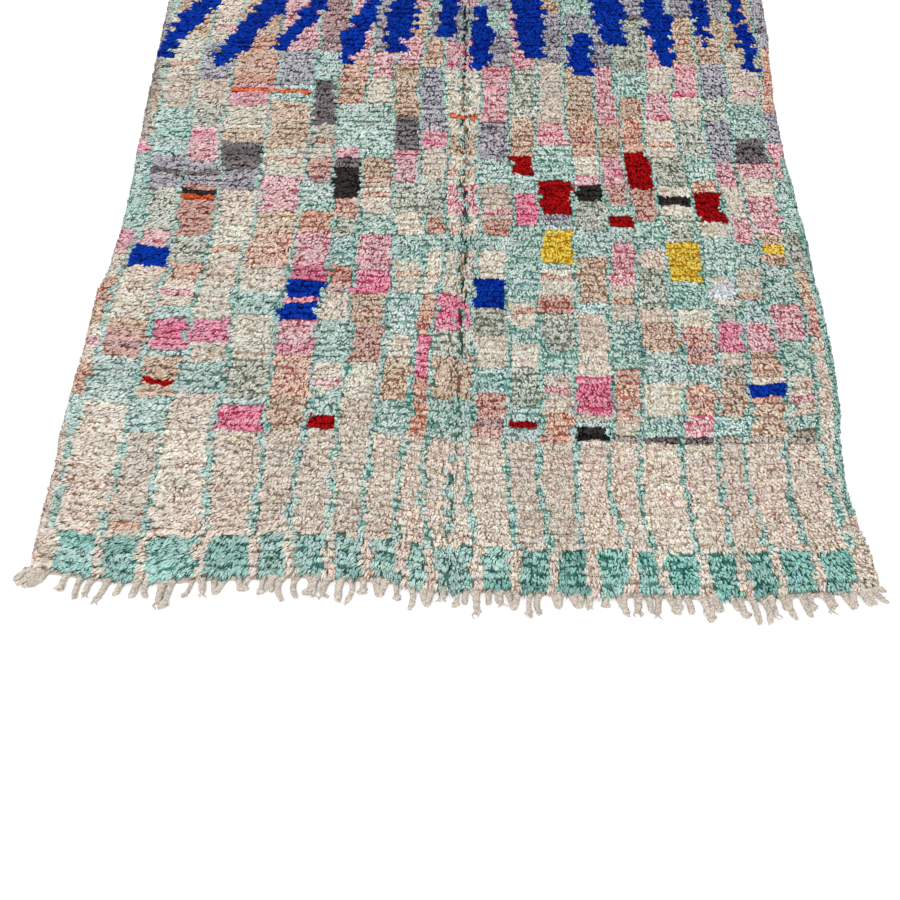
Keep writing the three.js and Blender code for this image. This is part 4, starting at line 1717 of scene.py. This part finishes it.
studio = {
    "worldLight": 0.87,
    "sunLight": 1.4,
    "floor": 0.92,  # the floor's grey
    "floorRoughness": 0.9,
    "floorLift": 0.12,  # how much the floor glows where it is seen
    "floorReach": 30,  # metres each way
    "sunSoftness": 14,
    "sunTilt": (34, -10),
    "cameraHeight": 2.0,  # metres
    "cameraBack": 1100,  # millimetres from the pile's near edge to below the camera
    "cameraAcross": 16,
    "lookDown": 55.1,
    "turn": 1.13,
    "lens": 50,
    "sensor": 36,
}


def seenOrMirrored(finish):
    # 1 where the camera sees a thing straight, in a mirror or through glass
    rays = ("Is Camera Ray", "Is Glossy Ray", "Is Transmission Ray")
    camera, glossy, through = (finish.node("ShaderNodeLightPath", output=ray) for ray in rays)
    return camera + glossy + through


def makeStage():
    # a wide pale floor that is seen a little brighter than it is lit
    mesh = bpy.data.meshes.new("floor")
    corners = [(-1, -1), (1, -1), (1, 1), (-1, 1)]
    reach = studio["floorReach"]
    mesh.from_pydata([(x * reach, y * reach, 0) for x, y in corners], [], [(0, 1, 2, 3)])
    floor = bpy.data.objects.new("floor", mesh)
    bpy.context.scene.collection.objects.link(floor)
    pale = Finish(bpy.data.materials.new("pale floor"))
    pale.feed("Base Color", (studio["floor"], studio["floor"], studio["floor"], 1))
    pale.feed("Roughness", studio["floorRoughness"])
    pale.feed("Specular IOR Level", 0.0)
    pale.feed("Emission Color", seenOrMirrored(pale) * studio["floorLift"])
    pale.feed("Emission Strength", 1)
    mesh.materials.append(pale.owner)


def makeLight():
    # the world is white where it is seen, and lights the rug a little less
    sky = Finish(bpy.data.worlds.new("studio"), "Background")
    bpy.context.scene.world = sky.owner
    sky.feed("Color", seenOrMirrored(sky) * (1 - studio["worldLight"]) + studio["worldLight"])
    sky.feed("Strength", 1)
    lamp = bpy.data.lights.new("softSun", "SUN")
    lamp.energy = studio["sunLight"]
    lamp.angle = math.radians(studio["sunSoftness"])
    sun = bpy.data.objects.new("softSun", lamp)
    sun.rotation_euler = [math.radians(angle) for angle in studio["sunTilt"]] + [0]
    bpy.context.scene.collection.objects.link(sun)


def makeCamera():
    # past the near end, about in line with the rug's middle, looking down along it
    lens = bpy.data.cameras.new("camera")
    lens.lens = studio["lens"]
    lens.sensor_width = studio["sensor"]
    camera = bpy.data.objects.new("camera", lens)
    camera.location = (
        (studio["cameraAcross"] + shift[0]) / 1000,
        (-studio["cameraBack"] + shift[1]) / 1000,
        studio["cameraHeight"],
    )
    camera.rotation_euler = (math.radians(90 - studio["lookDown"]), 0, math.radians(studio["turn"]))
    bpy.context.scene.collection.objects.link(camera)
    bpy.context.scene.camera = camera


makeStage()
makeLight()
makeCamera()
bpy.context.scene.view_settings.view_transform = "Standard"
print("studio lit")

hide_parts("rug")
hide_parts("near_fringe")
for piece in [rugGround, fringeTassels, pileBed, *pileStrips]:
    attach(piece, "root")
